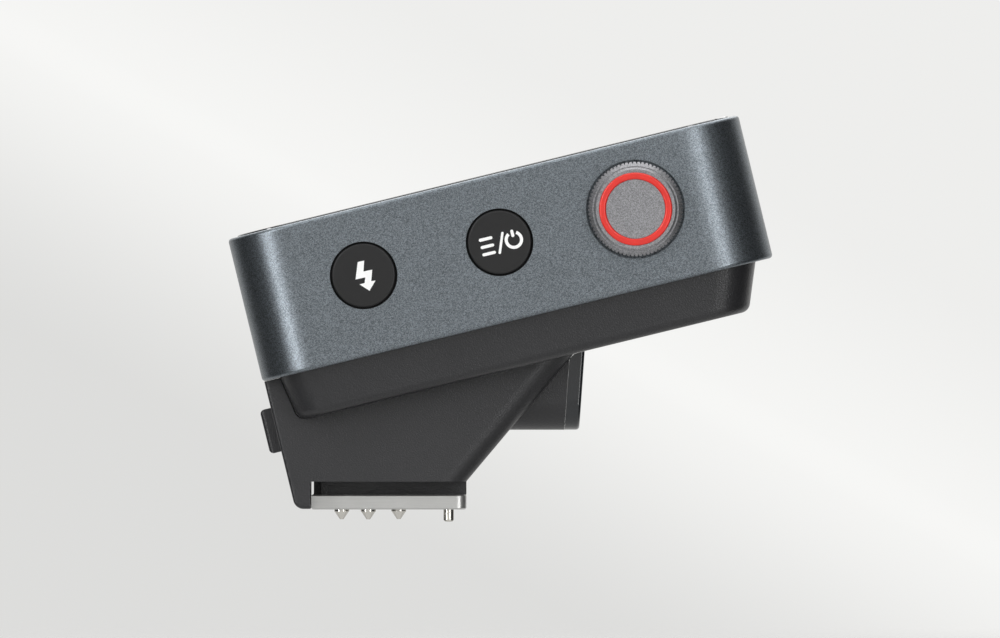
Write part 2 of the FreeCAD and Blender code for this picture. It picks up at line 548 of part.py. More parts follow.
class Piece:
    """A PartDesign body. Pads grow along a sketch plane's normal, and cuts sink against it."""

    def __init__(self, label, tilted=False):
        self.body = document.addObject("PartDesign::Body", label)
        self.body.Label = label
        if tilted:
            lean_back = FreeCAD.Rotation(Vector(0, -1, 0), tilt_angle.number)
            self.body.Placement = FreeCAD.Placement(Vector(), lean_back)
            bind(self.body, "Placement.Rotation.Angle", tilt_angle)
        self.body.AllowCompound = True
        self.volume = 0.0
        sub_parts.append(self.body)

    def outline(self, plane, level=0, across=0, up=0):
        return Outline(self, plane, level, across, up)

    def leaning_outline(self, level):
        """A sketch in the slab's own plane at a slab height, for a body that is drawn level."""
        outline = Outline(self, "XY", level * cosine, 0 - level * sine)
        place = outline.sketch.AttachmentOffset
        place.Rotation = FreeCAD.Rotation(Vector(0, -1, 0), tilt_angle.number)
        outline.sketch.AttachmentOffset = place
        bind(outline.sketch, "AttachmentOffset.Rotation.Angle", tilt_angle)
        return outline

    def _feature(self, kind, outline):
        feature = self.body.newObject("PartDesign::" + kind, self.body.Label + "_" + kind.lower())
        feature.Profile = outline.sketch
        return feature

    def _finish(self, feature, grows):
        before = self.volume
        document.recompute()
        self.volume = self.body.Shape.Volume
        change = self.volume - before if grows else before - self.volume
        if not change > 1e-6:
            raise ValueError(f"{feature.Name} did not {'add to' if grows else 'cut'} {self.body.Label}")
        return self

    def pad(self, outline, length, both=False, back=False):
        feature = self._feature("Pad", outline)
        bind(feature, "Length", length)
        feature.SideType = "Symmetric" if both else "One side"
        feature.Reversed = back
        return self._finish(feature, True)

    def cut(self, outline, depth, both=False, back=False):
        feature = self._feature("Pocket", outline)
        bind(feature, "Length", depth)
        feature.SideType = "Symmetric" if both else "One side"
        feature.Reversed = back
        return self._finish(feature, False)

    def turn(self, outline, axis="V_Axis"):
        feature = self._feature("Revolution", outline)
        feature.ReferenceAxis = (outline.sketch, [axis])
        feature.Angle = 360
        return self._finish(feature, True)

    def loft(self, first, second):
        feature = self._feature("AdditiveLoft", first)
        feature.Sections = [second.sketch]
        return self._finish(feature, True)

    def coil(self, outline, pitch, height):
        feature = self._feature("AdditiveHelix", outline)
        feature.ReferenceAxis = (outline.sketch, ["V_Axis"])
        feature.Mode = "pitch-height-angle"
        bind(feature, "Pitch", pitch)
        bind(feature, "Height", height)
        return self._finish(feature, True)

    def repeat_round(self, outline, count):
        """Repeats the last feature round the sketch's normal."""
        original = self.body.Tip
        pattern = self.body.newObject("PartDesign::PolarPattern", self.body.Label + "_pattern")
        pattern.Originals = [original]
        pattern.Axis = (outline.sketch, ["N_Axis"])
        pattern.Angle = 360
        bind(pattern, "Occurrences", count)
        self.body.Tip = pattern
        return self._finish(pattern, False)

    def _dress(self, kind, path, value, chosen):
        tip = self.body.Tip
        names = [f"Edge{i + 1}" for i, edge in enumerate(tip.Shape.Edges) if chosen(edge)]
        if not names:
            raise ValueError(f"no edge of {self.body.Label} was chosen for its {kind.lower()}")
        feature = self.body.newObject("PartDesign::" + kind, self.body.Label + "_" + kind.lower())
        feature.Base = (tip, names)
        bind(feature, path, value)
        document.recompute()
        if not feature.isValid():
            raise ValueError(f"{feature.Name} failed: {feature.getStatusString()}")
        self.volume = self.body.Shape.Volume
        return self

    def round_edges(self, radius, chosen):
        return self._dress("Fillet", "Radius", radius, chosen)

    def bevel_edges(self, size, chosen):
        return self._dress("Chamfer", "Size", size, chosen)


sub_parts = []


def lies_at(edge, axis, value):
    """Whether a whole edge lies at one coordinate."""
    box = edge.BoundBox
    low, high = getattr(box, axis + "Min"), getattr(box, axis + "Max")
    return abs(low - size_of(value).number) < 1e-3 and abs(high - size_of(value).number) < 1e-3


def runs_along(edge, axis):
    """Whether a straight edge is parallel to an axis."""
    box = edge.BoundBox
    return all(getattr(box, other + "Length") < 1e-4 for other in "XYZ" if other != axis)


def both_sides(rows, side):
    """Points at each row, on both sides of the centre line."""
    return [(row, sign * side) for row in rows for sign in (-1, 1)]


def circles(outline, radius, places):
    """Circles of one radius at several places of a sketch."""
    for across, up in places:
        outline.circle(radius, across, up)
    return outline


case_screw_places = both_sides(screw_rows, screw_side)
housing_screw_places = both_sides(housing_screw_rows, housing_screw_side)
foot_screw_places = both_sides(foot_screw_rows, foot_screw_side)


# The slab's shells

def upper_shell():
    """The body that carries the screen: a rounded box with a shelf for the glass, open below."""
    piece = Piece("upper_shell", tilted=True)
    box = piece.outline("XY", rim_level)
    piece.pad(box.rounded(rear_face, front_face, -half_width, half_width, shell_corner), shell_height)
    piece.round_edges(edge_round, lambda e: lies_at(e, "Z", rim_level) or lies_at(e, "Z", shell_top))
    recess = piece.outline("XY", shell_top)
    left, right, side = rear_face + glass_inset, front_face - glass_inset, half_width - glass_inset
    recess.rounded(left, right, -side, side, shell_corner - glass_inset)
    piece.cut(recess, shell_top - glass_floor)
    inside = piece.outline("XY", rim_level)
    left, right = rear_face + shell_wall, front_face - shell_wall
    inside.rounded(left, right, -wall_inside, wall_inside, shell_corner - shell_wall)
    piece.cut(inside, ledge_underside - rim_level, back=True)
    window = piece.outline("XY", glass_floor)
    reach = display_length / 2 + display_gap
    side = display_width / 2 + display_gap
    window.rectangle(display_middle - reach, display_middle + reach, -side, side)
    piece.cut(window, ledge_thickness)
    post_height = display_underside - 2 * hair - board_top
    posts = circles(piece.outline("XY", board_top), post_radius, case_screw_places)
    piece.pad(posts, post_height)
    ribs = piece.outline("XY", board_top)
    for across in (-screw_side, screw_side):
        low, high = across - rib_thickness / 2, across + rib_thickness / 2
        ribs.rectangle(rear_face + shell_wall / 2, screw_rows[0] - screw_head, low, high)
        ribs.rectangle(screw_rows[1] + screw_head, front_face - shell_wall / 2, low, high)
    piece.pad(ribs, post_height)
    threads = circles(piece.outline("XY", board_top), screw_radius + thread_gap, case_screw_places)
    piece.cut(threads, case_thread + hair, back=True)
    cut_control_holes(piece)
    cut_port_holes(piece)


def cut_control_holes(piece):
    """The dial's well and the two button holes, in the shell's right-hand wall."""
    well_back = dial_well + dial_well_floor
    boss = piece.outline("XZ", wall_inside, dial_place, control_height)
    boss.circle(dial_radius + dial_gap + dial_well_floor)
    piece.pad(boss, well_back - shell_wall, back=True)
    well = piece.outline("XZ", half_width, dial_place, control_height)
    piece.cut(well.circle(dial_radius + dial_gap), dial_well)
    hole = piece.outline("XZ", half_width - dial_well, dial_place, control_height)
    piece.cut(hole.circle(shaft_radius + dial_gap), dial_well_floor)
    holes = piece.outline("XZ", half_width)
    circles(holes, button_radius + button_gap, [(test_place, control_height), (mode_place, control_height)])
    piece.cut(holes, shell_wall)


def cut_port_holes(piece):
    """The charging socket's and the sync jack's holes, in the shell's left-hand wall."""
    holes = piece.outline("XZ", -half_width)
    side, rise = usb_width / 2 + port_gap, usb_height / 2 + port_gap
    holes.rounded(usb_x - side, usb_x + side, usb_z - rise, usb_z + rise, rise - hair)
    holes.circle(jack_nose + port_gap, jack_x, jack_z)
    piece.cut(holes, shell_wall, back=True)


def lower_case():
    """The tub under the shell: leaning walls, a collar inside the shell, and four screw posts."""
    piece = Piece("lower_case", tilted=True)
    foot = piece.outline("XY", case_bottom)
    foot.rounded(case_rear_bottom, case_front_bottom, -case_side_bottom, case_side_bottom, case_corner)
    brim = piece.outline("XY", rim_level)
    brim.rounded(case_rear_top, case_front_top, -case_side_top, case_side_top, case_corner)
    piece.loft(foot, brim)
    left, right = rear_face + shell_wall + shell_fit, front_face - shell_wall - shell_fit
    side, corner = wall_inside - shell_fit, shell_corner - shell_wall - shell_fit
    collar = piece.outline("XY", rim_level)
    piece.pad(collar.rounded(left, right, -side, side, corner), case_collar)
    bore = piece.outline("XY", collar_top)
    left, right, side = left + collar_wall, right - collar_wall, side - collar_wall
    piece.cut(bore.rounded(left, right, -side, side, corner - collar_wall), case_collar)
    tub = piece.outline("XY", rim_level)
    left, right = case_rear_bottom + case_wall, case_front_bottom - case_wall
    side = case_side_bottom - case_wall
    piece.cut(tub.rounded(left, right, -side, side, case_corner - case_wall), rim_level - case_inside)
    piece.round_edges(case_round, lambda e: lies_at(e, "Z", case_bottom))
    posts = circles(piece.outline("XY", case_inside), post_radius, case_screw_places)
    piece.pad(posts, collar_top - case_inside)
    cut_case_screw_holes(piece)
    slot = piece.outline("XY", case_inside)
    low, high = ribbon_side - screw_gap, ribbon_side + ribbon_width + screw_gap
    middle = ribbon_thickness / 2 - ribbon_place
    slot_x = slab_coordinates(middle, slab_plane_z(case_bottom + case_floor / 2, middle))[0]
    slot.rectangle(slot_x - ribbon_slot, slot_x + ribbon_slot, low, high)
    piece.cut(slot, case_floor)
    seat = piece.outline("XZ")
    rear = slab_coordinates(lock_place - lock_seat, lock_seat_level)
    front = slab_coordinates(lock_place + lock_seat, lock_seat_level)
    root = case_bottom + case_floor / 2
    seat.polygon([rear, front, (front[0], root), (rear[0], root)])
    piece.pad(seat, 2 * lock_seat, both=True)


def cut_case_screw_holes(piece):
    """Holes for the case screws from below and for the housing screws from above."""
    heads = circles(piece.outline("XY", case_bottom), screw_head + screw_gap, case_screw_places)
    piece.cut(heads, screw_head_height + screw_sunk, back=True)
    shanks = circles(piece.outline("XY", case_bottom), screw_radius + screw_gap, case_screw_places)
    piece.cut(shanks, collar_top - case_bottom, back=True)
    heads = circles(piece.outline("XY", case_inside), screw_head + screw_gap, housing_screw_places)
    piece.cut(heads, screw_head_height + screw_sunk)
    shanks = circles(piece.outline("XY", case_inside), screw_radius + screw_gap, housing_screw_places)
    piece.cut(shanks, case_floor)


# The screen

def plate(label, level, thickness, inset, corner):
    """A flat rounded plate set in from the shell's outline."""
    piece = Piece(label, tilted=True)
    side = half_width - inset
    outline = piece.outline("XY", level)
    outline.rounded(rear_face + inset, front_face - inset, -side, side, corner)
    piece.pad(outline, thickness)
    return piece


def screen_glass():
    inset = glass_inset + glass_gap
    piece = plate("screen_glass", glass_underside, glass_thickness, inset, shell_corner - inset)
    piece.bevel_edges(glass_gap, lambda e: lies_at(e, "Z", glass_underside + glass_thickness))


def glass_gasket():
    """The adhesive frame between the shelf and the glass."""
    inset = glass_inset + glass_gap
    piece = plate("glass_gasket", glass_floor, gasket_thickness, inset, shell_corner - inset)
    window = piece.outline("XY", glass_underside)
    reach = display_length / 2 + display_gap
    side = display_width / 2 + display_gap
    window.rectangle(display_middle - reach, display_middle + reach, -side, side)
    piece.cut(window, gasket_thickness)


def display_panel():
    piece = Piece("display_panel", tilted=True)
    outline = piece.outline("XY", display_underside)
    left, right = display_middle - display_length / 2, display_middle + display_length / 2
    outline.rectangle(left, right, -display_width / 2, display_width / 2)
    piece.pad(outline, display_thickness)


def display_ribbon():
    """The flat cable from the display's front edge down to the main board."""
    piece = Piece("display_ribbon", tilted=True)
    end = display_middle + display_length / 2 - display_ribbon_inset
    outline = piece.outline("XY", board_top)
    outline.rectangle(end - ribbon_thickness, end, -display_ribbon_width / 2, display_ribbon_width / 2)
    piece.pad(outline, display_underside - board_top)


# What the slab holds

def main_board():
    inset = shell_wall + board_inset
    piece = plate("main_board", collar_top, board_thickness, inset, shell_corner - inset)
    holes = circles(piece.outline("XY", board_top), screw_radius + screw_gap, case_screw_places)
    piece.cut(holes, board_thickness)


def rf_shield():
    """The metal lid over the radio."""
    piece = Piece("rf_shield", tilted=True)
    left = rear_face + shield_place
    side, middle = shield_width / 2, -shield_side
    outline = piece.outline("XY", board_top)
    outline.rounded(left, left + shield_length, middle - side, middle + side, shield_round)
    piece.pad(outline, shield_height)


def board_chips():
    """The charger, the memory and the chip aerial, as one group of solids."""
    piece = Piece("board_chips", tilted=True)
    outline = piece.outline("XY", board_top)
    for index in range(3):
        left = rear_face + chip_place + index * chip_pitch
        outline.rectangle(left, left + chip_side, -chip_row - chip_side / 2, chip_side / 2 - chip_row)
    piece.pad(outline, chip_height)


def buzzer():
    piece = Piece("buzzer", tilted=True)
    place = (rear_face + buzzer_place, buzzer_side)
    piece.pad(piece.outline("XY", board_top, *place).circle(buzzer_radius), buzzer_height)
    piece.cut(piece.outline("XY", board_top + buzzer_height, *place).circle(buzzer_port), buzzer_port)


def battery():
    piece = Piece("battery", tilted=True)
    left = display_middle - battery_length / 2
    outline = piece.outline("XY", case_inside)
    outline.rounded(left, left + battery_length, -battery_width / 2, battery_width / 2, battery_round)
    piece.pad(outline, battery_height)


def usb_socket():
    """The charging socket's metal shell, closed at its inner end."""
    piece = Piece("usb_socket", tilted=True)
    side, rise = usb_width / 2, usb_height / 2
    outline = piece.outline("XZ", -port_mouth, usb_x, usb_z)
    piece.pad(outline.rounded(-side, side, -rise, rise, rise - hair), usb_depth)
    inner = piece.outline("XZ", -port_mouth, usb_x, usb_z)
    side, rise = side - usb_wall, rise - usb_wall
    piece.cut(inner.rounded(-side, side, -rise, rise, rise - hair), usb_depth - usb_wall, back=True)


def usb_tongue():
    """The contact tongue in the middle of the charging socket."""
    piece = Piece("usb_tongue", tilted=True)
    side, rise = usb_tongue_width / 2, usb_tongue_thickness / 2
    outline = piece.outline("XZ", usb_depth - usb_wall - port_mouth, usb_x, usb_z)
    piece.pad(outline.rectangle(-side, side, -rise, rise), usb_tongue_length, back=True)


def sync_jack():
    """A 2.5 mm jack socket: a square body on the board and a round nose in the shell's wall."""
    piece = Piece("sync_jack", tilted=True)
    side = jack_side / 2
    body_face = wall_inside - port_gap
    outline = piece.outline("XZ", -body_face, jack_x, jack_z)
    piece.pad(outline.rectangle(-side, side, -side, side), jack_body)
    nose = piece.outline("XZ", -port_mouth, jack_x, jack_z)
    piece.pad(nose.circle(jack_nose), port_mouth - body_face)
    bore = piece.outline("XZ", -port_mouth, jack_x, jack_z)
    piece.cut(bore.circle(jack_radius), jack_depth, back=True)


# The controls on the right-hand wall

def key_board():
    """The small board behind the controls, standing on the main board."""
    piece = Piece("key_board", tilted=True)
    outline = piece.outline("XZ", key_board_face)
    left, right = test_place - key_board_end, dial_place + encoder_side / 2
    outline.rectangle(left, right, board_top, display_underside - key_board_drop)
    piece.pad(outline, key_board_thickness, back=True)


def key_switch(name, place):
    """A key switch on the key board and the plunger that its button pushes."""
    side = switch_side / 2
    piece = Piece(name + "_switch", tilted=True)
    outline = piece.outline("XZ", key_board_face, place, control_height)
    piece.pad(outline.rectangle(-side, side, -side, side), switch_depth)
    bore = piece.outline("XZ", key_board_face + switch_depth, place, control_height)
    piece.cut(bore.circle(plunger_radius + running_gap), plunger_sunk + button_travel + 2 * hair)
    plunger = Piece(name + "_plunger", tilted=True)
    outline = plunger.outline("XZ", key_board_face + switch_depth - plunger_sunk, place, control_height)
    plunger.pad(outline.circle(plunger_radius), plunger_sunk + plunger_proud)


def side_button(name, place):
    """A round button: cap, flange behind the wall, and a stem that ends at the switch's plunger."""
    piece = Piece(name + "_button", tilted=True)
    stem_end = key_board_face + switch_depth + plunger_proud
    flange_face = wall_inside - hair
    flange_back = flange_face - button_flange_thickness
    stem = piece.outline("XZ", stem_end, place, control_height)
    piece.pad(stem.circle(button_stem), flange_back - stem_end)
    flange = piece.outline("XZ", flange_back, place, control_height)
    piece.pad(flange.circle(button_radius + button_gap + button_flange), button_flange_thickness)
    cap = piece.outline("XZ", flange_face, place, control_height)
    piece.pad(cap.circle(button_radius), half_width + button_proud - flange_face)
    piece.round_edges(button_round, lambda e: lies_at(e, "Y", -(half_width + button_proud)))


def encoder_body():
    piece = Piece("encoder_body", tilted=True)
    side = encoder_side / 2
    outline = piece.outline("XZ", key_board_face, dial_place, control_height)
    piece.pad(outline.rectangle(-side, side, -side, side), encoder_depth)
    bore = piece.outline("XZ", key_board_face + encoder_depth, dial_place, control_height)
    piece.cut(bore.circle(shaft_radius + running_gap), encoder_bore)


def encoder_plunger():
    """The disc at the bottom of the encoder's bore, which the shaft pushes when the dial is pressed."""
    piece = Piece("encoder_plunger", tilted=True)
    level = shaft_end - hair - encoder_plunger_thickness
    outline = piece.outline("XZ", level, dial_place, control_height)
    piece.pad(outline.circle(shaft_radius), encoder_plunger_thickness)


def encoder_shaft():
    piece = Piece("encoder_shaft", tilted=True)
    outline = piece.outline("XZ", shaft_end, dial_place, control_height)
    piece.pad(outline.circle(shaft_radius), shaft_top - shaft_end)


def dial_knob():
    """The dial: a knurled drum with a raised face and a groove for the coloured ring."""
    piece = Piece("dial_knob", tilted=True)
    base, top = half_width - dial_sunk, half_width + dial_proud
    step = top - dial_face_step
    outline = piece.outline("XY", control_height, dial_place)
    piece.turn(outline.polygon([
        (0, -shaft_top),
        (shaft_radius, -shaft_top),
        (shaft_radius, -base),
        (dial_radius, -base),
        (dial_radius, -step),
        (dial_radius - dial_bevel, -(step + dial_bevel)),
        (dial_face_radius, -(step + dial_bevel)),
        (dial_face_radius, -(top - edge_round / 2)),
        (dial_face_radius - edge_round / 2, -top),
        (ring_outer, -top),
        (ring_outer, -(top - ring_depth)),
        (ring_inner, -(top - ring_depth)),
        (ring_inner, -top),
        (0, -top),
    ]))
    notch = piece.outline("XZ", step + dial_bevel, dial_place, control_height)
    pitch = dial_radius * (2 * math.pi) / knurl_count
    high = dial_radius + knurl_depth
    notch.polygon([(-pitch / 2, high), (0, dial_radius - knurl_depth), (pitch / 2, high)])
    piece.cut(notch, step + dial_bevel - base)
    piece.repeat_round(notch, knurl_count)


def dial_ring():
    piece = Piece("dial_ring", tilted=True)
    outline = piece.outline("XZ", half_width + dial_proud - ring_depth, dial_place, control_height)
    outline.circle(ring_outer - ring_play).circle(ring_inner + ring_play)
    piece.pad(outline, ring_depth + ring_proud)
    piece.round_edges(ring_proud, lambda e: lies_at(e, "Y", -(half_width + dial_proud + ring_proud)))


# The shoe housing and the focus lamp

def shoe_housing():
    """The wedge between the slab and the foot, with the lip behind the foot and the lamp's box in front."""
    piece = Piece("shoe_housing")
    spine_top = rim_level - hair / 2
    wedge = piece.outline("XZ")
    wedge.polygon([
        (slab_line_x(housing_rear, lip_level), lip_level),
        (foot_rear - lip_gap, lip_level),
        (foot_rear - lip_gap, neck_top),
        (foot_front, neck_top),
        (slope_top_x, slab_plane_z(case_bottom, slope_top_x)),
        slab_point(case_rear_bottom - 2 * hair, case_bottom),
        slab_point(case_rear_top - 2 * hair, spine_top),
        slab_point(housing_rear, spine_top),
    ])
    piece.pad(wedge, housing_width, both=True)
    half = half_housing.number
    piece.round_edges(lip_round, is_lip_end)
    piece.round_edges(case_round, is_case_corner)
    piece.round_edges(housing_round, lambda e: is_slope_side(e, half))
    piece.round_edges(edge_round, lambda e: is_rear_side(e, half))
    box = piece.outline("XZ")
    box_rear = seam_top_x - wall_shift / 2
    box.polygon([
        (slope_x(lamp_level) - wall_shift / 2, lamp_level),
        (lamp_seam(lamp_level), lamp_level),
        (seam_top_x, seam_top_z),
        (box_rear, slab_plane_z(case_bottom, box_rear) - hair),
    ])
    piece.pad(box, lamp_width, both=True)
    piece.round_edges(lamp_round, is_lamp_side)
    hollow = piece.outline("XZ")
    rear_inside = housing_rear + housing_wall
    hollow.polygon([
        (slab_line_x(rear_inside, housing_floor_top), housing_floor_top),
        (slope_x(housing_floor_top) - wall_shift, housing_floor_top),
        (slope_inside_x, slab_plane_z(case_bottom, slope_inside_x)),
        slab_point(rear_inside, case_bottom),
    ])
    piece.cut(hollow, housing_width - 2 * housing_wall, both=True)
    add_housing_posts(piece)
    cut_foot_openings(piece)
    cut_release_opening(piece)
    cut_lamp_pocket(piece)


def is_slope_side(edge, half):
    """The two side edges of the sloping front."""
    box = edge.BoundBox
    rises = box.ZLength > 5 and box.XLength > 5
    return rises and box.YLength < 1e-4 and abs(abs(box.YMin) - half) < 1e-4 and box.XMin > 0


def is_rear_side(edge, half):
    """The two side edges of the rear face."""
    box = edge.BoundBox
    rises = box.ZLength > 15 and box.XMax < slab_line_x(housing_rear, 0).number + 0.1
    return rises and box.YLength < 1e-4 and abs(abs(box.YMin) - half) < 1e-4


def is_case_corner(edge):
    """The inner edge that the lower case's rounded bottom edge lies in."""
    x, z = slab_point(case_rear_bottom - 2 * hair, case_bottom)
    return lies_at(edge, "X", x) and lies_at(edge, "Z", z)


def is_lip_end(edge):
    """The outer edge of the lip's end, all the way across."""
    corner = slab_line_x(housing_rear, lip_level)
    return lies_at(edge, "Z", lip_level) and lies_at(edge, "X", corner)


def is_lamp_side(edge):
    """The two lower side edges of the lamp's box."""
    box = edge.BoundBox
    side = (lamp_width / 2).number
    return lies_at(edge, "Z", lamp_level) and abs(abs(box.YMin) - side) < 1e-4 and box.YLength < 1e-4


def add_housing_posts(piece):
    """Posts for the screws that hold the housing to the lower case, each tied to a side wall."""
    posts = circles(piece.leaning_outline(case_bottom), housing_post, housing_screw_places)
    piece.pad(posts, housing_thread + post_floor, back=True)
    threads = circles(piece.leaning_outline(case_bottom), screw_radius + thread_gap, housing_screw_places)
    piece.cut(threads, housing_thread + hair)


def cut_foot_openings(piece):
    """The openings in the floor for the neck's hub, the lock pin and the foot screws."""
    opening = piece.outline("XY", housing_floor_top)
    piece.cut(opening.polygon(hub_points(screw_gap)), housing_wall)
    holes = circles(piece.outline("XY", housing_floor_top), screw_radius + screw_gap, foot_screw_places)
    holes.circle(lock_shank + running_gap, lock_place)
    piece.cut(holes, housing_wall)


def cut_release_opening(piece):
    """The opening for the release button, square to the rear face and deeper than its stroke."""
    low, high = release_low - release_gap, release_high + release_gap
    rear = housing_rear - release_proud
    opening = piece.outline("XZ")
    opening.polygon([
        slab_point(rear, low),
        slab_point(release_pocket, low),
        slab_point(release_pocket, high),
        slab_point(rear, high),
    ])
    piece.cut(opening, release_width + 2 * release_gap, both=True)


def cut_lamp_pocket(piece):
    """The pocket behind the lamp's window, which holds the diode and its board."""
    pocket = piece.outline("YZ", lamp_pocket_back + lamp_pocket_depth)
    side = lamp_pocket_width / 2
    pocket.rectangle(-side, side, lamp_level + lamp_wall, lamp_pocket_top)
    piece.cut(pocket, lamp_pocket_depth)


def lamp_window():
    """The dark window on the lamp's front."""
    piece = Piece("lamp_window")
    outline = piece.outline("XZ")
    outline.polygon([
        (lamp_seam(lamp_level) + hair, lamp_level),
        (lamp_reach, lamp_level),
        (lamp_front_x, slab_plane_z(case_bottom, lamp_front_x) - hair),
        (slope_top_x + 2 * hair, slab_plane_z(case_bottom, slope_top_x) - hair),
        (seam_top_x + hair, seam_top_z),
    ])
    piece.pad(outline, lamp_width, both=True)
    piece.round_edges(lamp_round, is_lamp_side)
    piece.round_edges(edge_round, is_window_rim)


def is_window_rim(edge):
    """The window's front edges, along its sides and its foot but not its top."""
    box = edge.BoundBox
    return box.XMin > lamp_reach.number - 1e-3 and not runs_along(edge, "Y") or lies_at(edge, "X", lamp_reach)


def lamp_board():
    piece = Piece("lamp_board")
    outline = piece.outline("YZ", lamp_pocket_back)
    side = lamp_pocket_width / 2 - screw_gap
    outline.rectangle(-side, side, lamp_level + lamp_wall + hair, lamp_pocket_top - screw_gap)
    piece.pad(outline, lamp_board_thickness)


def lamp_diode():
    """The focus lamp's diode on its board."""
    piece = Piece("lamp_diode")
    level = lamp_pocket_back + lamp_board_thickness
    middle = (lamp_level + lamp_wall + lamp_pocket_top) / 2
    side = lamp_diode_side / 2
    outline = piece.outline("YZ", level, up=middle)
    piece.pad(outline.rectangle(-side, side, -side, side), lamp_diode_depth)
    dome = piece.outline("YZ", level + lamp_diode_depth, up=middle)
    piece.pad(dome.circle(lamp_dome), lamp_dome_height)


# The foot

def hub_points(gap):
    """The outline of the neck's hub: narrow round the rear contacts, wide round the middle ones."""
    rear = -contact_row_rear - contact_bore - contact_wall - gap
    narrow = contact_span_rear + contact_bore + contact_wall + gap
    shoulder = -contact_row_middle - contact_bore - contact_wall * 2 - gap
    wide = contact_span_middle + contact_bore + contact_wall + gap
    front = contact_row_front + contact_bore + contact_wall + gap
    return [
        (rear, -narrow), (shoulder, -narrow), (shoulder, -wide), (front, -wide),
        (front, wide), (shoulder, wide), (shoulder, narrow), (rear, narrow),
    ]


def insert_points():
    """The outline of the insulating insert in the foot plate."""
    rear = -contact_row_rear - contact_bore - insert_wall / 2
    shoulder = -contact_row_middle - contact_bore - insert_wall
    front = contact_row_front + contact_bore + insert_wall / 2
    narrow, wide = contact_span_rear + insert_wall, contact_span_middle + contact_bore
    return [
        (rear, -narrow), (shoulder, -wide), (front, -wide),
        (front, wide), (shoulder, wide), (rear, narrow),
    ]


def foot_plate():
    """The metal plate that slides into the shoe, with room for the contacts' insert."""
    piece = Piece("foot_plate")
    outline = piece.outline("XY")
    outline.rectangle(foot_rear, foot_front, -foot_width / 2, foot_width / 2)
    piece.pad(outline, foot_thickness)
    piece.round_edges(foot_corner, lambda e: runs_along(e, "Z") and lies_at(e, "X", foot_front))
    piece.bevel_edges(foot_bevel, lambda e: lies_at(e, "Z", 0) or lies_at(e, "Z", foot_thickness))
    opening = piece.outline("XY", foot_thickness)
    piece.cut(opening.polygon(insert_points()), foot_thickness)
    shanks = circles(piece.outline("XY", foot_thickness), screw_radius + screw_gap, foot_screw_places)
    shanks.circle(lock_shank + running_gap, lock_place)
    piece.cut(shanks, foot_thickness)
    heads = circles(piece.outline("XY"), screw_head + screw_gap, foot_screw_places)
    piece.cut(heads, screw_head_height + screw_sunk, back=True)


def contact_insert():
    """The insulating insert that guides the five contacts."""
    piece = Piece("contact_insert")
    piece.pad(piece.outline("XY").polygon(insert_points()), foot_thickness)
    holes = piece.outline("XY", foot_thickness)
    circles(holes, contact_radius + running_gap, contact_places.values())
    piece.cut(holes, foot_thickness)


def shoe_base():
    """The neck between the rails, and the hub that rises through the housing's floor."""
    piece = Piece("shoe_base")
    half = neck_width / 2
    neck_rear = foot_rear + neck_start
    neck = piece.outline("XY", foot_thickness)
    piece.pad(neck.rectangle(neck_rear, foot_front, -half, half), neck_height)
    tongue = piece.outline("XY", foot_thickness)
    tongue.rectangle(foot_rear + tongue_gap, neck_rear, -tongue_width / 2, tongue_width / 2)
    piece.pad(tongue, neck_height)
    hub = piece.outline("XY", neck_top)
    piece.pad(hub.polygon(hub_points(0)), clamp_top - neck_top)
    bores = circles(piece.outline("XY", foot_thickness), contact_bore, contact_places.values())
    piece.cut(bores, clamp_top - foot_thickness, back=True)
    holes = circles(piece.outline("XY", neck_top), screw_radius + screw_gap, foot_screw_places)
    holes.circle(lock_shank + running_gap, lock_place)
    piece.cut(holes, neck_height)
    arch_level = foot_thickness + arch_height - arch_radius
    piece.cut(piece.outline("XZ", half).circle(arch_radius, 0, arch_level), arch_depth)
    piece.cut(piece.outline("XZ", -half).circle(arch_radius, 0, arch_level), arch_depth, back=True)


def clamp_plate():
    """The threaded plate inside the housing that the foot screws pull against."""
    piece = Piece("clamp_plate")
    half = foot_screw_side + clamp_edge
    outline = piece.outline("XY", housing_floor_top)
    outline.rectangle(-foot_screw_rear - clamp_edge, lock_place + clamp_edge, -half, half)
    piece.pad(outline, clamp_thickness)
    opening = piece.outline("XY", clamp_top)
    piece.cut(opening.polygon(hub_points(screw_gap)), clamp_thickness)
    holes = circles(piece.outline("XY", clamp_top), screw_radius + thread_gap, foot_screw_places)
    holes.circle(lock_shank + 2 * screw_gap, lock_place)
    piece.cut(holes, clamp_thickness)


def contact_board():
    """The board on the hub that the contacts' springs press against."""
    piece = Piece("contact_board")
    points = hub_points(0)
    half = points[2][1]
    outline = piece.outline("XY", clamp_top)
    outline.rectangle(points[0][0], points[3][0], half, -half)
    piece.pad(outline, contact_board_thickness)


def contact_pin(name, place):
    """A contact: a pin with a tapered end and a collar that keeps it in its bore."""
    piece = Piece("contact_pin_" + name)
    outline = piece.outline("XZ", -place[1], place[0])
    collar_low = foot_thickness + hair
    outline.polygon([
        (0, -contact_reach),
        (contact_tip, -contact_reach),
        (contact_radius, -contact_shoulder),
        (contact_radius, collar_low),
        (contact_bore - running_gap, collar_low),
        (contact_bore - running_gap, collar_low + contact_collar),
        (0, collar_low + contact_collar),
    ])
    piece.turn(outline)


def coil_spring(name, place, low, high, radius, turns):
    """A helical spring between two levels, about a vertical axis."""
    piece = Piece(name)
    start = low + spring_wire / 2
    outline = piece.outline("XZ", -place[1], place[0])
    outline.circle(spring_wire / 2, radius, start)
    height = high - low - spring_wire
    piece.coil(outline, height / turns, height)


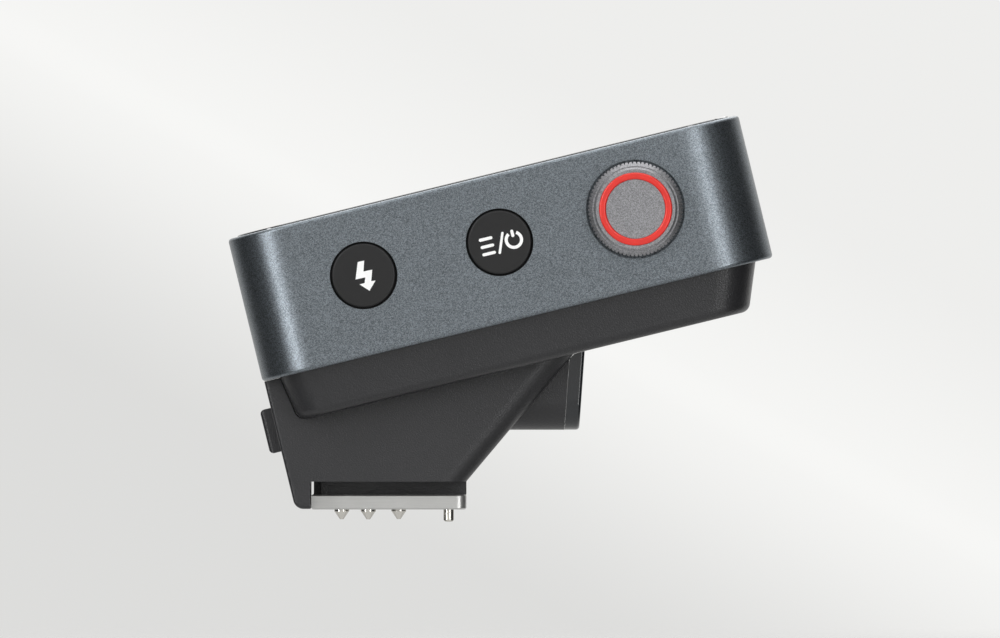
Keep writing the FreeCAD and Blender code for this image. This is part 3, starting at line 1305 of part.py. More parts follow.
def lock_pin():
    """The pin that drops into the shoe, and the sloping head that the release slider lifts."""
    piece = Piece("lock_pin")
    tip = piece.outline("XY", -lock_reach)
    piece.pad(tip.circle(lock_radius, lock_place), lock_reach)
    shank = piece.outline("XY")
    piece.pad(shank.circle(lock_shank, lock_place), head_slope_z(lock_place - lock_shank))
    rear, front = lock_place - lock_head / 2, lock_place + lock_head / 2
    head = piece.outline("XZ")
    head.polygon([
        (rear, head_slope_z(rear)),
        (front, head_slope_z(front)),
        (front, lock_head_level),
        (rear, lock_head_level),
    ])
    piece.pad(head, lock_head_width, both=True)
    spigot = piece.outline("XY", lock_head_level)
    piece.pad(spigot.circle(lock_spigot, lock_place), lock_spigot)
    piece.round_edges(lock_radius / 2, lambda e: lies_at(e, "Z", -lock_reach))


def release_button():
    """The button on the housing's rear face, with a stop flange behind the wall."""
    piece = Piece("release_button", tilted=True)
    outline = piece.outline("XZ")
    outline.polygon([
        (release_face, release_low),
        (release_stop, release_low),
        (release_stop, release_step),
        (release_back, release_step),
        (release_back, release_high),
        (release_face, release_high),
    ])
    piece.pad(outline, release_width, both=True)
    piece.round_edges(release_round, lambda e: lies_at(e, "X", release_face))
    flange = piece.outline("XZ")
    flange.rectangle(release_stop, slider_rear, release_low - release_lap, release_step)
    piece.pad(flange, release_width + 2 * release_lap, both=True)


def release_slider():
    """The slider behind the release button: its forked, sloping end lifts the lock pin's head."""
    piece = Piece("release_slider", tilted=True)
    outline = piece.outline("XZ")
    outline.polygon([
        (slider_rear, slider_level),
        (slider_block, slider_level),
        (slider_block, slider_foot_level),
        (ramp_x(slider_foot_level), slider_foot_level),
        (ramp_x(slider_top), slider_top),
        (slider_rear, slider_top),
    ])
    piece.pad(outline, slider_width, both=True)
    slot = piece.outline("XY", slider_top)
    half = lock_shank + slider_slot_gap
    slot.rectangle(slider_slot, ramp_x(slider_foot_level) + lock_shank, -half, half)
    piece.cut(slot, slider_top - slider_foot_level)


def screw_group(label, heads_level, length, places, tilted, down=False):
    """Equal screws with cross recesses, as one group of solids. Their heads face away from their shanks."""
    piece = Piece(label, tilted)
    sign = -1 if down else 1
    under_head = heads_level + sign * screw_head_height
    heads = circles(piece.outline("XY", heads_level), screw_head, places)
    piece.pad(heads, screw_head_height, back=down)
    shanks = circles(piece.outline("XY", under_head), screw_radius, places)
    piece.pad(shanks, length, back=down)
    for along, across in ((recess_length, recess_width), (recess_width, recess_length)):
        recess = piece.outline("XY", heads_level)
        for x, y in places:
            recess.rectangle(x - along / 2, x + along / 2, y - across / 2, y + across / 2)
        piece.cut(recess, recess_depth, back=not down)


def foot_ribbon():
    """The flat cable from the contact board up to the main board."""
    piece = Piece("foot_ribbon")
    low = clamp_top + contact_board_thickness
    outline = piece.outline("XZ", -ribbon_side)
    rear, front = -ribbon_place, ribbon_thickness - ribbon_place
    outline.polygon([
        (rear, low),
        (front, low),
        (front, slab_plane_z(collar_top, front)),
        (rear, slab_plane_z(collar_top, rear)),
    ])
    piece.pad(outline, ribbon_width, back=True)


# Everything in its place

upper_shell()
lower_case()
screen_glass()
glass_gasket()
display_panel()
display_ribbon()
main_board()
rf_shield()
board_chips()
buzzer()
battery()
usb_socket()
usb_tongue()
sync_jack()
key_board()
for control, control_x in (("test", test_place), ("mode", mode_place)):
    key_switch(control, control_x)
    side_button(control, control_x)
encoder_body()
encoder_plunger()
encoder_shaft()
dial_knob()
dial_ring()
shoe_housing()
lamp_window()
lamp_board()
lamp_diode()
foot_plate()
contact_insert()
shoe_base()
clamp_plate()
contact_board()
collar_top_level = foot_thickness + hair + contact_collar
for contact, contact_place in contact_places.items():
    contact_pin(contact, contact_place)
    coil_spring("contact_spring_" + contact, contact_place, collar_top_level, clamp_top, contact_coil, 5)
lock_pin()
coil_spring("lock_spring", (lock_place, size_of(0)), lock_head_level, lock_seat_level, lock_coil, 5)
release_button()
release_slider()
case_head_level = case_bottom + screw_sunk
case_screw_length = board_top + case_thread - case_head_level - screw_head_height
screw_group("case_screws", case_head_level, case_screw_length, case_screw_places, True)
housing_head_level = case_inside - screw_sunk
housing_screw_length = housing_head_level - screw_head_height - case_bottom + housing_thread
screw_group("housing_screws", housing_head_level, housing_screw_length, housing_screw_places, True, down=True)
foot_screw_length = clamp_top - hair - screw_sunk - screw_head_height
screw_group("foot_screws", screw_sunk, foot_screw_length, foot_screw_places, False)
foot_ribbon()

document.recompute()
for thing in document.Objects:
    if "Invalid" in thing.State or "Error" in thing.State:
        raise ValueError(f"{thing.Name} failed: {thing.State}")
for body in sub_parts:
    if body.Shape.isNull() or not body.Shape.isValid() or not body.Shape.Solids:
        raise ValueError(f"{body.Label} has no valid solid")

os.makedirs("parts", exist_ok=True)
for body in sub_parts:
    body.Shape.exportStep(os.path.join("parts", body.Label + ".step"))
print(f"{len(sub_parts)} sub-parts written")
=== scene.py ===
"""Finishes, printed symbols and studio for a wireless flash trigger.

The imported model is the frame. Every length is in metres, with +X towards the
subject, +Y to the photographer's left and +Z up. The screen slab leans back by
SLAB_TILT about Y, and its symbols lean with it.
"""

import math

import bmesh
import bpy
from bpy.props import FloatProperty, FloatVectorProperty, PointerProperty
from mathutils import Matrix, Vector


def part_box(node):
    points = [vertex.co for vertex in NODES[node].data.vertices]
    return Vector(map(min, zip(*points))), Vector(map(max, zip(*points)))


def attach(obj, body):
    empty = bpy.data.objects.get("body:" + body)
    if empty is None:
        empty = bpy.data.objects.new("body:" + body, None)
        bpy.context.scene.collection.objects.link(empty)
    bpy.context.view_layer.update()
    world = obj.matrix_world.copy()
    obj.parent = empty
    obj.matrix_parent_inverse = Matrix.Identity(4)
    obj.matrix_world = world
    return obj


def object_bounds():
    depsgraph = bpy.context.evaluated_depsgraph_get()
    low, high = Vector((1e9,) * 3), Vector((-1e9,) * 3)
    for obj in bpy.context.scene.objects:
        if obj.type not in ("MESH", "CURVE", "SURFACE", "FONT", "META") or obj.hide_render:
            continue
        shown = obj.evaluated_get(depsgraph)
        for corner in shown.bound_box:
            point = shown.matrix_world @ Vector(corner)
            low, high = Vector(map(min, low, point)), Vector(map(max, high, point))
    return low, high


bl_info = {
    "name": "Wireless flash trigger",
    "version": (1, 0, 0),
    "blender": (4, 5, 0),
    "location": "3D View > Sidebar > Flash trigger",
    "description": "Finishes and stages the packed flash trigger",
    "category": "Object",
}

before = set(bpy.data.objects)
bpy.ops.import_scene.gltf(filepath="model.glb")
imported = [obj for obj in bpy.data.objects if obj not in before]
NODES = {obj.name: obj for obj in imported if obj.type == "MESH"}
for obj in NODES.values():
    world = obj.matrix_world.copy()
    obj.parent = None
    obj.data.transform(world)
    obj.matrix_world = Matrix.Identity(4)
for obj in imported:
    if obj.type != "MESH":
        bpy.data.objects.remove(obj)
CAD_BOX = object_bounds()

MM = 0.001
SLAB_TILT = math.radians(13.7)
CONTACTS = ("front", "middle_left", "middle_right", "rear_left", "rear_right")
# Corners of the flash symbol from the middle of its key, in millimetres.
BOLT = (
    (-0.34, 1.92), (-1.17, -0.27), (0.16, -0.31), (-0.11, -1.01), (-0.80, -1.04), (0.28, -2.17),
    (1.38, -1.04), (0.80, -0.98), (1.30, 0.47), (0.10, 0.51), (0.54, 1.90),
)
MENU_LEFT, MENU_TOP = -2.42 * MM, 0.86 * MM
MENU_BARS = 3
SLASH_ENDS = ((-0.30 * MM, -1.36 * MM, 0), (0.66 * MM, 1.10 * MM, 0))
POWER_CENTRE = (1.93 * MM, -0.12 * MM, 0.0)
POWER_LINE = (0.45 * MM, 1.05 * MM)
POWER_GAP = math.radians(62)
ROUND_END_SEGMENTS = 24
RING_STEPS = 48
# Direction across the backdrop's sheen, the edges of the sheen at one metre, and its grey levels.
SHEEN_LEAN = (-0.4664, 0.0, -0.8846)
SHEEN_EDGES = (-0.0313, 0.0307)
SHEEN_LEVELS = ((0.0, 0.838), (0.40, 0.935), (0.5, 0.93), (0.75, 0.80), (1.0, 0.708))
AIM = Vector((0.02, 0.0, 0.025))
FLOOR_RADIUS = 1.2


# ---------------------------------------------------------------- settings


def colour(name, description, default):
    return FloatVectorProperty(
        name=name, description=description, default=default,
        subtype="COLOR", size=3, min=0.0, max=1.0,
    )


def length(name, description, default):
    return FloatProperty(
        name=name, description=description, default=default,
        subtype="DISTANCE", unit="LENGTH", min=0.0, precision=5,
    )


class TriggerColours(bpy.types.PropertyGroup):
    """Colours of the finishes that show from outside."""

    shell: colour("Shell paint", "Metallic paint of the upper shell", (0.168, 0.189, 0.208))
    case: colour("Case plastic", "Moulded plastic of the lower case and shoe", (0.018, 0.018, 0.020))
    key: colour("Key caps", "Plastic of the two round keys", (0.012, 0.012, 0.0125))
    dial: colour("Dial", "Satin finish of the dial and its knurl", (0.27, 0.27, 0.283))
    ring: colour("Dial ring", "Gloss ring in the face of the dial", (0.74, 0.020, 0.011))
    mark: colour("Symbols", "Print on the key caps", (0.93, 0.93, 0.93))
    glass: colour("Screen glass", "Glass over the display", (0.006, 0.0065, 0.008))
    window: colour("Lamp window", "Dark window of the focus lamp", (0.012, 0.014, 0.017))
    foot: colour("Shoe foot", "Brushed plate that slides into the shoe", (0.53, 0.53, 0.52))
    pin: colour("Contact pins", "Nickel of the pins and the lock pin", (0.66, 0.64, 0.60))


class TriggerGrain(bpy.types.PropertyGroup):
    """Sizes of the textures of the finishes."""

    flake: length("Paint flake", "Width of a flake in the shell paint", 0.10 * MM)
    mould: length("Mould grain", "Width of a grain on the black plastic", 0.20 * MM)
    satin: length("Satin grain", "Width of a grain on the dial and keys", 0.10 * MM)
    brush: length("Brush line", "Width of a line on the foot plate", 0.07 * MM)
    relief: length("Relief", "Depth of the mould grain", 0.06 * MM)


class TriggerSymbols(bpy.types.PropertyGroup):
    """Sizes of the symbols printed on the key caps."""

    thickness: length("Print thickness", "How far a symbol stands on its cap", 0.03 * MM)
    stroke: length("Stroke", "Width of the lines of a symbol", 0.42 * MM)
    ring_radius: length("Power ring", "Radius to the middle of the power symbol's line", 1.02 * MM)
    bar_length: length("Menu bar", "Length of a bar of the menu symbol", 1.85 * MM)
    bar_step: length("Menu bar step", "From one bar of the menu symbol to the next", 1.0 * MM)


class TriggerStage(bpy.types.PropertyGroup):
    """Floor, lamps and camera."""

    distance: length("Camera distance", "From the camera to the side of the shell", 3.0)
    view_width: length("View width", "Width of the view at the side of the shell", 133.3 * MM)
    view_x: length("View centre X", "Middle of the view along the foot", 14.89 * MM)
    view_z: length("View centre Z", "Middle of the view above the foot", 25.5 * MM)
    floor: colour("Floor", "Colour of the floor", (0.74, 0.74, 0.73))
    drop: length("Floor drop", "From the lowest pin down to the floor", 20.0 * MM)
    power: FloatProperty(
        name="Lamps", description="Power of the right-hand lamp, which the others follow",
        default=3.2, min=0.0, unit="POWER",
    )
    ambient: FloatProperty(
        name="Ambient", description="Strength of the light from all round",
        default=0.22, min=0.0, max=1.0, subtype="FACTOR",
    )


# ------------------------------------------------------------- node groups


def new_group(name, inputs, outputs):
    """A shader group with float inputs and outputs, and its two end nodes."""
    group = bpy.data.node_groups.new(name, "ShaderNodeTree")
    for socket, default in inputs:
        made = group.interface.new_socket(socket, in_out="INPUT", socket_type="NodeSocketFloat")
        made.default_value = default
    for socket in outputs:
        group.interface.new_socket(socket, in_out="OUTPUT", socket_type="NodeSocketFloat")
    return group, group.nodes.new("NodeGroupInput"), group.nodes.new("NodeGroupOutput")


def add(tree, kind, values=(), **settings):
    """A node with its settings, and values on its own input sockets."""
    node = tree.nodes.new("ShaderNode" + kind)
    for key, value in settings.items():
        setattr(node, key, value)
    for socket, value in dict(values).items():
        node.inputs[socket].default_value = value
    return node


def grain_group():
    """Rounded grain, as on moulded or blasted plastic."""
    group, given, result = new_group(
        "Grain", [("Density", 4000.0), ("Softness", 0.8)], ["Mask", "Height"])
    place = add(group, "TexCoord")
    fine = add(group, "TexNoise", {"Detail": 2.0}, noise_dimensions="3D")
    cells = add(group, "TexVoronoi", feature="SMOOTH_F1")
    blend = add(group, "Mix", data_type="FLOAT")
    link = group.links.new
    link(place.outputs["Object"], fine.inputs["Vector"])
    link(place.outputs["Object"], cells.inputs["Vector"])
    link(given.outputs["Density"], fine.inputs["Scale"])
    link(given.outputs["Density"], cells.inputs["Scale"])
    link(given.outputs["Softness"], blend.inputs["Factor"])
    link(cells.outputs["Distance"], blend.inputs["A"])
    link(fine.outputs["Fac"], blend.inputs["B"])
    link(fine.outputs["Fac"], result.inputs["Mask"])
    link(blend.outputs["Result"], result.inputs["Height"])
    return group


def flake_group():
    """Metal flakes in paint: each flake is a little brighter or darker."""
    group, given, result = new_group("Flake", [("Density", 6000.0)], ["Mask", "Height"])
    place = add(group, "TexCoord")
    cells = add(group, "TexVoronoi", feature="F1")
    split = add(group, "SeparateColor")
    cloud = add(group, "TexNoise", {"Detail": 3.0, "Roughness": 0.7})
    both = add(group, "Mix", {"Factor": 0.5}, data_type="FLOAT")
    link = group.links.new
    link(place.outputs["Object"], cells.inputs["Vector"])
    link(place.outputs["Object"], cloud.inputs["Vector"])
    link(given.outputs["Density"], cells.inputs["Scale"])
    link(given.outputs["Density"], cloud.inputs["Scale"])
    link(cells.outputs["Color"], split.inputs["Color"])
    link(split.outputs["Red"], both.inputs["A"])
    link(cloud.outputs["Fac"], both.inputs["B"])
    link(both.outputs["Result"], result.inputs["Mask"])
    link(cloud.outputs["Fac"], result.inputs["Height"])
    return group


def brush_group():
    """Long fine lines along X, as brushing leaves on metal."""
    group, given, result = new_group(
        "Brush", [("Density", 9000.0), ("Stretch", 0.02)], ["Mask", "Height"])
    place = add(group, "TexCoord")
    squeeze = add(group, "CombineXYZ", {"Y": 1.0, "Z": 1.0})
    scaled = add(group, "VectorMath", operation="MULTIPLY")
    lines = add(group, "TexNoise", {"Detail": 4.0, "Roughness": 0.6})
    link = group.links.new
    link(given.outputs["Stretch"], squeeze.inputs["X"])
    link(place.outputs["Object"], scaled.inputs[0])
    link(squeeze.outputs["Vector"], scaled.inputs[1])
    link(scaled.outputs["Vector"], lines.inputs["Vector"])
    link(given.outputs["Density"], lines.inputs["Scale"])
    link(lines.outputs["Fac"], result.inputs["Mask"])
    link(lines.outputs["Fac"], result.inputs["Height"])
    return group


def handling_group():
    """Soft clouds where hands have polished or dulled a surface."""
    group, given, result = new_group("Handling", [("Density", 90.0)], ["Mask", "Height"])
    place = add(group, "TexCoord")
    cloud = add(group, "TexNoise", {"Detail": 3.0, "Roughness": 0.55})
    link = group.links.new
    link(place.outputs["Object"], cloud.inputs["Vector"])
    link(given.outputs["Density"], cloud.inputs["Scale"])
    for output in ("Mask", "Height"):
        link(cloud.outputs["Fac"], result.inputs[output])
    return group


GROUP_MAKERS = {
    "Grain": grain_group, "Flake": flake_group, "Brush": brush_group, "Handling": handling_group,
}


def shared(name):
    """The node group of that name, built the first time it is asked for."""
    return bpy.data.node_groups.get(name) or GROUP_MAKERS[name]()


# --------------------------------------------------------------- materials


def place_group(tree, name, **values):
    node = tree.nodes.new("ShaderNodeGroup")
    node.node_tree = shared(name)
    for socket, value in values.items():
        node.inputs[socket].default_value = value
    return node


def shade(tint, factor):
    return [min(1.0, part * factor) for part in tint[:3]] + [1.0]


def finish(name, tint, pattern, grain, roughness, metallic=0.0, contrast=0.1,
           relief=0.0, uneven=0.06, sockets=()):
    """A material whose pattern varies its colour and relief, and handling its gloss.

    grain is the width of one grain, contrast how far a grain's colour goes from
    the tint, relief the depth of the pattern and uneven how far handling moves
    the roughness.
    """
    material = bpy.data.materials.new(name)
    material.use_nodes = True
    material.diffuse_color = list(tint[:3]) + [1.0]
    tree = material.node_tree
    link = tree.links.new
    surface = tree.nodes["Principled BSDF"]
    surface.inputs["Metallic"].default_value = metallic
    for socket, value in dict(sockets).items():
        surface.inputs[socket].default_value = value
    texture = place_group(tree, pattern, Density=1.0 / grain)
    mixed = add(tree, "Mix", data_type="RGBA")
    mixed.inputs["A"].default_value = shade(tint, 1.0 - contrast)
    mixed.inputs["B"].default_value = shade(tint, 1.0 + contrast)
    spread = add(tree, "MapRange", {"From Min": 0.25, "From Max": 0.75})
    link(texture.outputs["Mask"], spread.inputs["Value"])
    link(spread.outputs["Result"], mixed.inputs["Factor"])
    link(mixed.outputs["Result"], surface.inputs["Base Color"])
    touched = place_group(tree, "Handling")
    gloss = add(tree, "MapRange", {
        "From Min": 0.3, "From Max": 0.7,
        "To Min": roughness - uneven, "To Max": roughness + uneven,
    })
    link(touched.outputs["Mask"], gloss.inputs["Value"])
    link(gloss.outputs["Result"], surface.inputs["Roughness"])
    if relief:
        bump = add(tree, "Bump", {"Distance": relief, "Strength": 1.0})
        link(texture.outputs["Height"], bump.inputs["Height"])
        link(bump.outputs["Normal"], surface.inputs["Normal"])
    return material


def clear_glass(name, tint, roughness, sockets=()):
    """Dark polished cover: a coat over a nearly black body, with faint wipe marks."""
    return finish(
        name, tint, "Handling", 9 * MM, roughness, contrast=0.25, uneven=0.02,
        sockets={"Coat Weight": 1.0, "Coat Roughness": 0.03, "IOR": 1.5, **dict(sockets)},
    )


def paint_nodes(material, names):
    """Puts the material on CAD nodes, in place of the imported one."""
    for name in names:
        slots = NODES[name].material_slots
        if not slots:
            NODES[name].data.materials.append(material)
        for held in slots:
            held.material = material


# --------------------------------------------------------- printed symbols


def cap_plane(node):
    """From a symbol's own plane to the outer face of a key cap."""
    low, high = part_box(node)
    along = Vector((math.cos(SLAB_TILT), 0.0, math.sin(SLAB_TILT)))
    across = Vector((-math.sin(SLAB_TILT), 0.0, math.cos(SLAB_TILT)))
    out = Vector((0.0, -1.0, 0.0))
    place = Matrix((along, across, out)).transposed().to_4x4()
    place.translation = Vector(((low.x + high.x) / 2, low.y, (low.z + high.z) / 2))
    return place


def add_stroke(shape, start, end, width):
    """A flat line with round ends."""
    start, end = Vector(start), Vector(end)
    run = end - start
    made = bmesh.ops.create_circle(
        shape, cap_ends=True, segments=ROUND_END_SEGMENTS, radius=width / 2)["verts"]
    ahead = [v for v in made if v.co.x > width * 0.01]
    bmesh.ops.translate(shape, verts=ahead, vec=(run.length, 0.0, 0.0))
    turn = Matrix.Rotation(math.atan2(run.y, run.x), 4, "Z")
    bmesh.ops.transform(shape, verts=made, matrix=Matrix.Translation(start) @ turn)


def add_outline(shape, corners):
    """A flat shape with these corners."""
    face = shape.faces.new([shape.verts.new((x, y, 0.0)) for x, y in corners])
    face.normal_update()
    bmesh.ops.triangulate(shape, faces=[face])


def add_open_ring(shape, centre, radius, width, gap):
    """A flat ring with a gap at its top."""
    start = Matrix.Rotation(gap / 2, 4, "Z")
    middle = Matrix.Translation(Vector(centre))
    inner = shape.verts.new(middle @ start @ Vector((0.0, radius - width / 2, 0.0)))
    outer = shape.verts.new(middle @ start @ Vector((0.0, radius + width / 2, 0.0)))
    edge = shape.edges.new((inner, outer))
    bmesh.ops.spin(
        shape, geom=[inner, outer, edge], cent=centre, axis=(0.0, 0.0, 1.0),
        angle=2 * math.pi - gap, steps=RING_STEPS,
    )


def print_symbol(name, shape, node, body, thickness, material):
    """Thickens a flat shape, and prints it on the face of a key cap."""
    flat = shape.faces[:]
    raised = bmesh.ops.extrude_face_region(shape, geom=flat)["geom"]
    top = [part for part in raised if isinstance(part, bmesh.types.BMVert)]
    bmesh.ops.translate(shape, verts=top, vec=(0.0, 0.0, thickness))
    bmesh.ops.recalc_face_normals(shape, faces=shape.faces[:])
    bmesh.ops.transform(shape, verts=shape.verts[:], matrix=cap_plane(node))
    mesh = bpy.data.meshes.new(name)
    shape.to_mesh(mesh)
    shape.free()
    piece = bpy.data.objects.new(name, mesh)
    bpy.context.scene.collection.objects.link(piece)
    piece.data.materials.append(material)
    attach(piece, body)


# --------------------------------------------------------------- operators


class TRIGGER_OT_case(bpy.types.Operator):
    """Paint the upper shell and texture the lower case and its screws"""

    bl_idname = "trigger.case"
    bl_label = "Shell and case"

    def execute(self, context):
        tint, grain = context.scene.trigger_colours, context.scene.trigger_grain
        paint_nodes(finish(
            "shell_paint", tint.shell, "Flake", grain.flake, 0.34, metallic=0.92,
            contrast=0.46, relief=0.010 * MM, uneven=0.03), ["upper_shell"])
        paint_nodes(finish(
            "case_plastic", tint.case, "Grain", grain.mould, 0.34,
            contrast=0.22, relief=grain.relief), ["lower_case"])
        paint_nodes(finish(
            "black_screw", (0.05, 0.05, 0.053), "Brush", grain.brush, 0.35,
            metallic=0.9), ["case_screws", "housing_screws"])
        return {"FINISHED"}


class TRIGGER_OT_screen(bpy.types.Operator):
    """Finish the glass, its gasket and the display under it"""

    bl_idname = "trigger.screen"
    bl_label = "Screen"

    def execute(self, context):
        tint = context.scene.trigger_colours
        paint_nodes(clear_glass("screen_glass", tint.glass, 0.06), ["screen_glass"])
        paint_nodes(finish(
            "gasket_foam", (0.02, 0.02, 0.02), "Grain", 0.3 * MM, 0.85,
            relief=0.02 * MM), ["glass_gasket"])
        paint_nodes(clear_glass("display_panel", (0.012, 0.012, 0.016), 0.15), ["display_panel"])
        paint_nodes(finish(
            "flat_cable", (0.42, 0.16, 0.035), "Brush", 0.35 * MM, 0.35,
            contrast=0.3), ["display_ribbon", "foot_ribbon"])
        return {"FINISHED"}


class TRIGGER_OT_keys(bpy.types.Operator):
    """Finish the two keys and print their symbols"""

    bl_idname = "trigger.keys"
    bl_label = "Keys"

    def execute(self, context):
        tint, grain = context.scene.trigger_colours, context.scene.trigger_grain
        size = context.scene.trigger_symbols
        cap = finish(
            "key_plastic", tint.key, "Grain", grain.satin, 0.45,
            contrast=0.05, relief=0.002 * MM, uneven=0.04,
            sockets={"Specular IOR Level": 0.32})
        paint_nodes(cap, ["test_button", "mode_button"])
        ink = finish("symbol_ink", tint.mark, "Grain", 0.05 * MM, 0.45, contrast=0.02)
        bolt = bmesh.new()
        add_outline(bolt, [(x * MM, y * MM) for x, y in BOLT])
        print_symbol("flash_symbol", bolt, "test_button", "test_key", size.thickness, ink)
        menu = bmesh.new()
        right = MENU_LEFT + size.bar_length - size.stroke
        for row in range(MENU_BARS):
            height = MENU_TOP - row * size.bar_step
            add_stroke(menu, (MENU_LEFT, height, 0), (right, height, 0), size.stroke)
        print_symbol("menu_symbol", menu, "mode_button", "mode_key", size.thickness, ink)
        slash = bmesh.new()
        add_stroke(slash, *SLASH_ENDS, size.stroke * 0.8)
        print_symbol("slash_symbol", slash, "mode_button", "mode_key", size.thickness, ink)
        power = bmesh.new()
        add_open_ring(power, POWER_CENTRE, size.ring_radius, size.stroke, POWER_GAP)
        add_stroke(
            power, *((POWER_CENTRE[0], height, 0) for height in POWER_LINE), size.stroke)
        print_symbol("power_symbol", power, "mode_button", "mode_key", size.thickness, ink)
        return {"FINISHED"}


class TRIGGER_OT_dial(bpy.types.Operator):
    """Finish the dial and its ring"""

    bl_idname = "trigger.dial"
    bl_label = "Dial"

    def execute(self, context):
        tint, grain = context.scene.trigger_colours, context.scene.trigger_grain
        paint_nodes(finish(
            "dial_satin", tint.dial, "Flake", grain.satin, 0.40, metallic=0.75,
            contrast=0.36, relief=0.010 * MM), ["dial_knob"])
        paint_nodes(finish(
            "dial_ring_gloss", tint.ring, "Handling", 2 * MM, 0.22, contrast=0.06,
            sockets={"Coat Weight": 0.2, "Coat Roughness": 0.1}), ["dial_ring"])
        return {"FINISHED"}


class TRIGGER_OT_shoe(bpy.types.Operator):
    """Finish the wedge, the foot and the parts that hold it"""

    bl_idname = "trigger.shoe"
    bl_label = "Shoe and foot"

    def execute(self, context):
        tint, grain = context.scene.trigger_colours, context.scene.trigger_grain
        paint_nodes(finish(
            "shoe_plastic", tint.case, "Grain", grain.mould, 0.37,
            contrast=0.22, relief=grain.relief),
            ["shoe_housing", "shoe_base", "release_button"])
        paint_nodes(finish(
            "foot_metal", tint.foot, "Brush", grain.brush, 0.36, metallic=0.85,
            contrast=0.07, relief=0.002 * MM), ["foot_plate"])
        paint_nodes(finish(
            "insert_plastic", (0.03, 0.03, 0.032), "Grain", 0.2 * MM, 0.5,
            relief=0.004 * MM), ["contact_insert", "release_slider"])
        paint_nodes(finish(
            "inner_steel", (0.5, 0.5, 0.51), "Brush", grain.brush, 0.34, metallic=1.0,
            relief=0.001 * MM), ["clamp_plate", "foot_screws"])
        return {"FINISHED"}


class TRIGGER_OT_contacts(bpy.types.Operator):
    """Finish the contact pins, the lock pin and their springs"""

    bl_idname = "trigger.contacts"
    bl_label = "Contacts and lock"

    def execute(self, context):
        tint = context.scene.trigger_colours
        paint_nodes(finish(
            "pin_nickel", tint.pin, "Brush", 0.05 * MM, 0.20, metallic=1.0, contrast=0.06),
            ["contact_pin_" + name for name in CONTACTS] + ["lock_pin"])
        paint_nodes(finish(
            "spring_wire", (0.5, 0.5, 0.5), "Brush", 0.05 * MM, 0.26, metallic=1.0),
            ["contact_spring_" + name for name in CONTACTS] + ["lock_spring"])
        return {"FINISHED"}


class TRIGGER_OT_lamp(bpy.types.Operator):
    """Finish the focus lamp's window and diode"""

    bl_idname = "trigger.lamp"
    bl_label = "Focus lamp"

    def execute(self, context):
        tint = context.scene.trigger_colours
        paint_nodes(clear_glass(
            "lamp_window", tint.window, 0.12, {"Coat Weight": 0.3}), ["lamp_window"])
        paint_nodes(finish(
            "lamp_diode", (0.75, 0.68, 0.42), "Handling", 0.6 * MM, 0.2, contrast=0.1,
            sockets={"Coat Weight": 0.6}), ["lamp_diode"])
        return {"FINISHED"}


class TRIGGER_OT_electronics(bpy.types.Operator):
    """Finish the boards, switches, sockets and battery inside"""

    bl_idname = "trigger.electronics"
    bl_label = "Electronics"

    def execute(self, context):
        grain = context.scene.trigger_grain
        paint_nodes(finish(
            "board_lacquer", (0.012, 0.10, 0.045), "Grain", 0.5 * MM, 0.35, contrast=0.2,
            relief=0.004 * MM), ["main_board", "key_board", "lamp_board", "contact_board"])
        paint_nodes(finish(
            "chip_resin", (0.02, 0.02, 0.021), "Grain", 0.12 * MM, 0.6,
            relief=0.003 * MM), ["board_chips", "buzzer"])
        paint_nodes(finish(
            "shield_tin", (0.62, 0.62, 0.63), "Brush", grain.brush, 0.32, metallic=1.0),
            ["rf_shield", "test_switch", "mode_switch", "usb_socket"])
        paint_nodes(finish(
            "switch_plastic", (0.035, 0.035, 0.036), "Grain", 0.15 * MM, 0.45,
            relief=0.002 * MM),
            ["usb_tongue", "sync_jack", "test_plunger", "mode_plunger", "encoder_body"])
        paint_nodes(finish(
            "encoder_steel", (0.55, 0.55, 0.56), "Brush", grain.brush, 0.3, metallic=1.0),
            ["encoder_plunger", "encoder_shaft"])
        paint_nodes(finish(
            "cell_foil", (0.62, 0.63, 0.65), "Handling", 3 * MM, 0.30, metallic=0.95,
            relief=0.05 * MM), ["battery"])
        return {"FINISHED"}


class TRIGGER_OT_stage(bpy.types.Operator):
    """Set the camera, the lamps, the backdrop and the floor"""

    bl_idname = "trigger.stage"
    bl_label = "Stage"

    def execute(self, context):
        stage = context.scene.trigger_stage
        scene = context.scene
        scene.view_settings.view_transform = "Standard"
        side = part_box("upper_shell")[0].y
        target = Vector((stage.view_x, side, stage.view_z))
        camera = bpy.data.objects.new("camera", bpy.data.cameras.new("camera"))
        camera.location = target + Vector((0.0, -stage.distance, 0.0))
        camera.rotation_euler = (math.pi / 2, 0.0, 0.0)
        camera.data.lens = camera.data.sensor_width * stage.distance / stage.view_width
        camera.data.clip_start = 0.01
        scene.collection.objects.link(camera)
        scene.camera = camera
        for name, azimuth, elevation, size, share in LAMPS:
            add_lamp(name, azimuth, elevation, size, share * stage.power)
        make_backdrop(stage.ambient, stage.distance)
        make_floor(stage.floor, stage.drop)
        return {"FINISHED"}


# Name, azimuth from the camera and elevation in degrees, width and height, share of the power.
LAMPS = (
    ("right_softbox", 30.0, 8.0, (0.17, 1.1), 0.95),
    ("left_softbox", -46.0, 10.0, (0.17, 1.1), 2.0),
    ("front_fill", -8.0, -3.0, (0.7, 0.5), 0.6),
    ("high_front_softbox", 0.0, 55.0, (0.9, 0.35), 0.5),
    ("top_softbox", 175.0, 74.0, (1.0, 0.7), 1.4),
    ("back_softbox", 180.0, 38.0, (0.8, 0.5), 0.9),
)


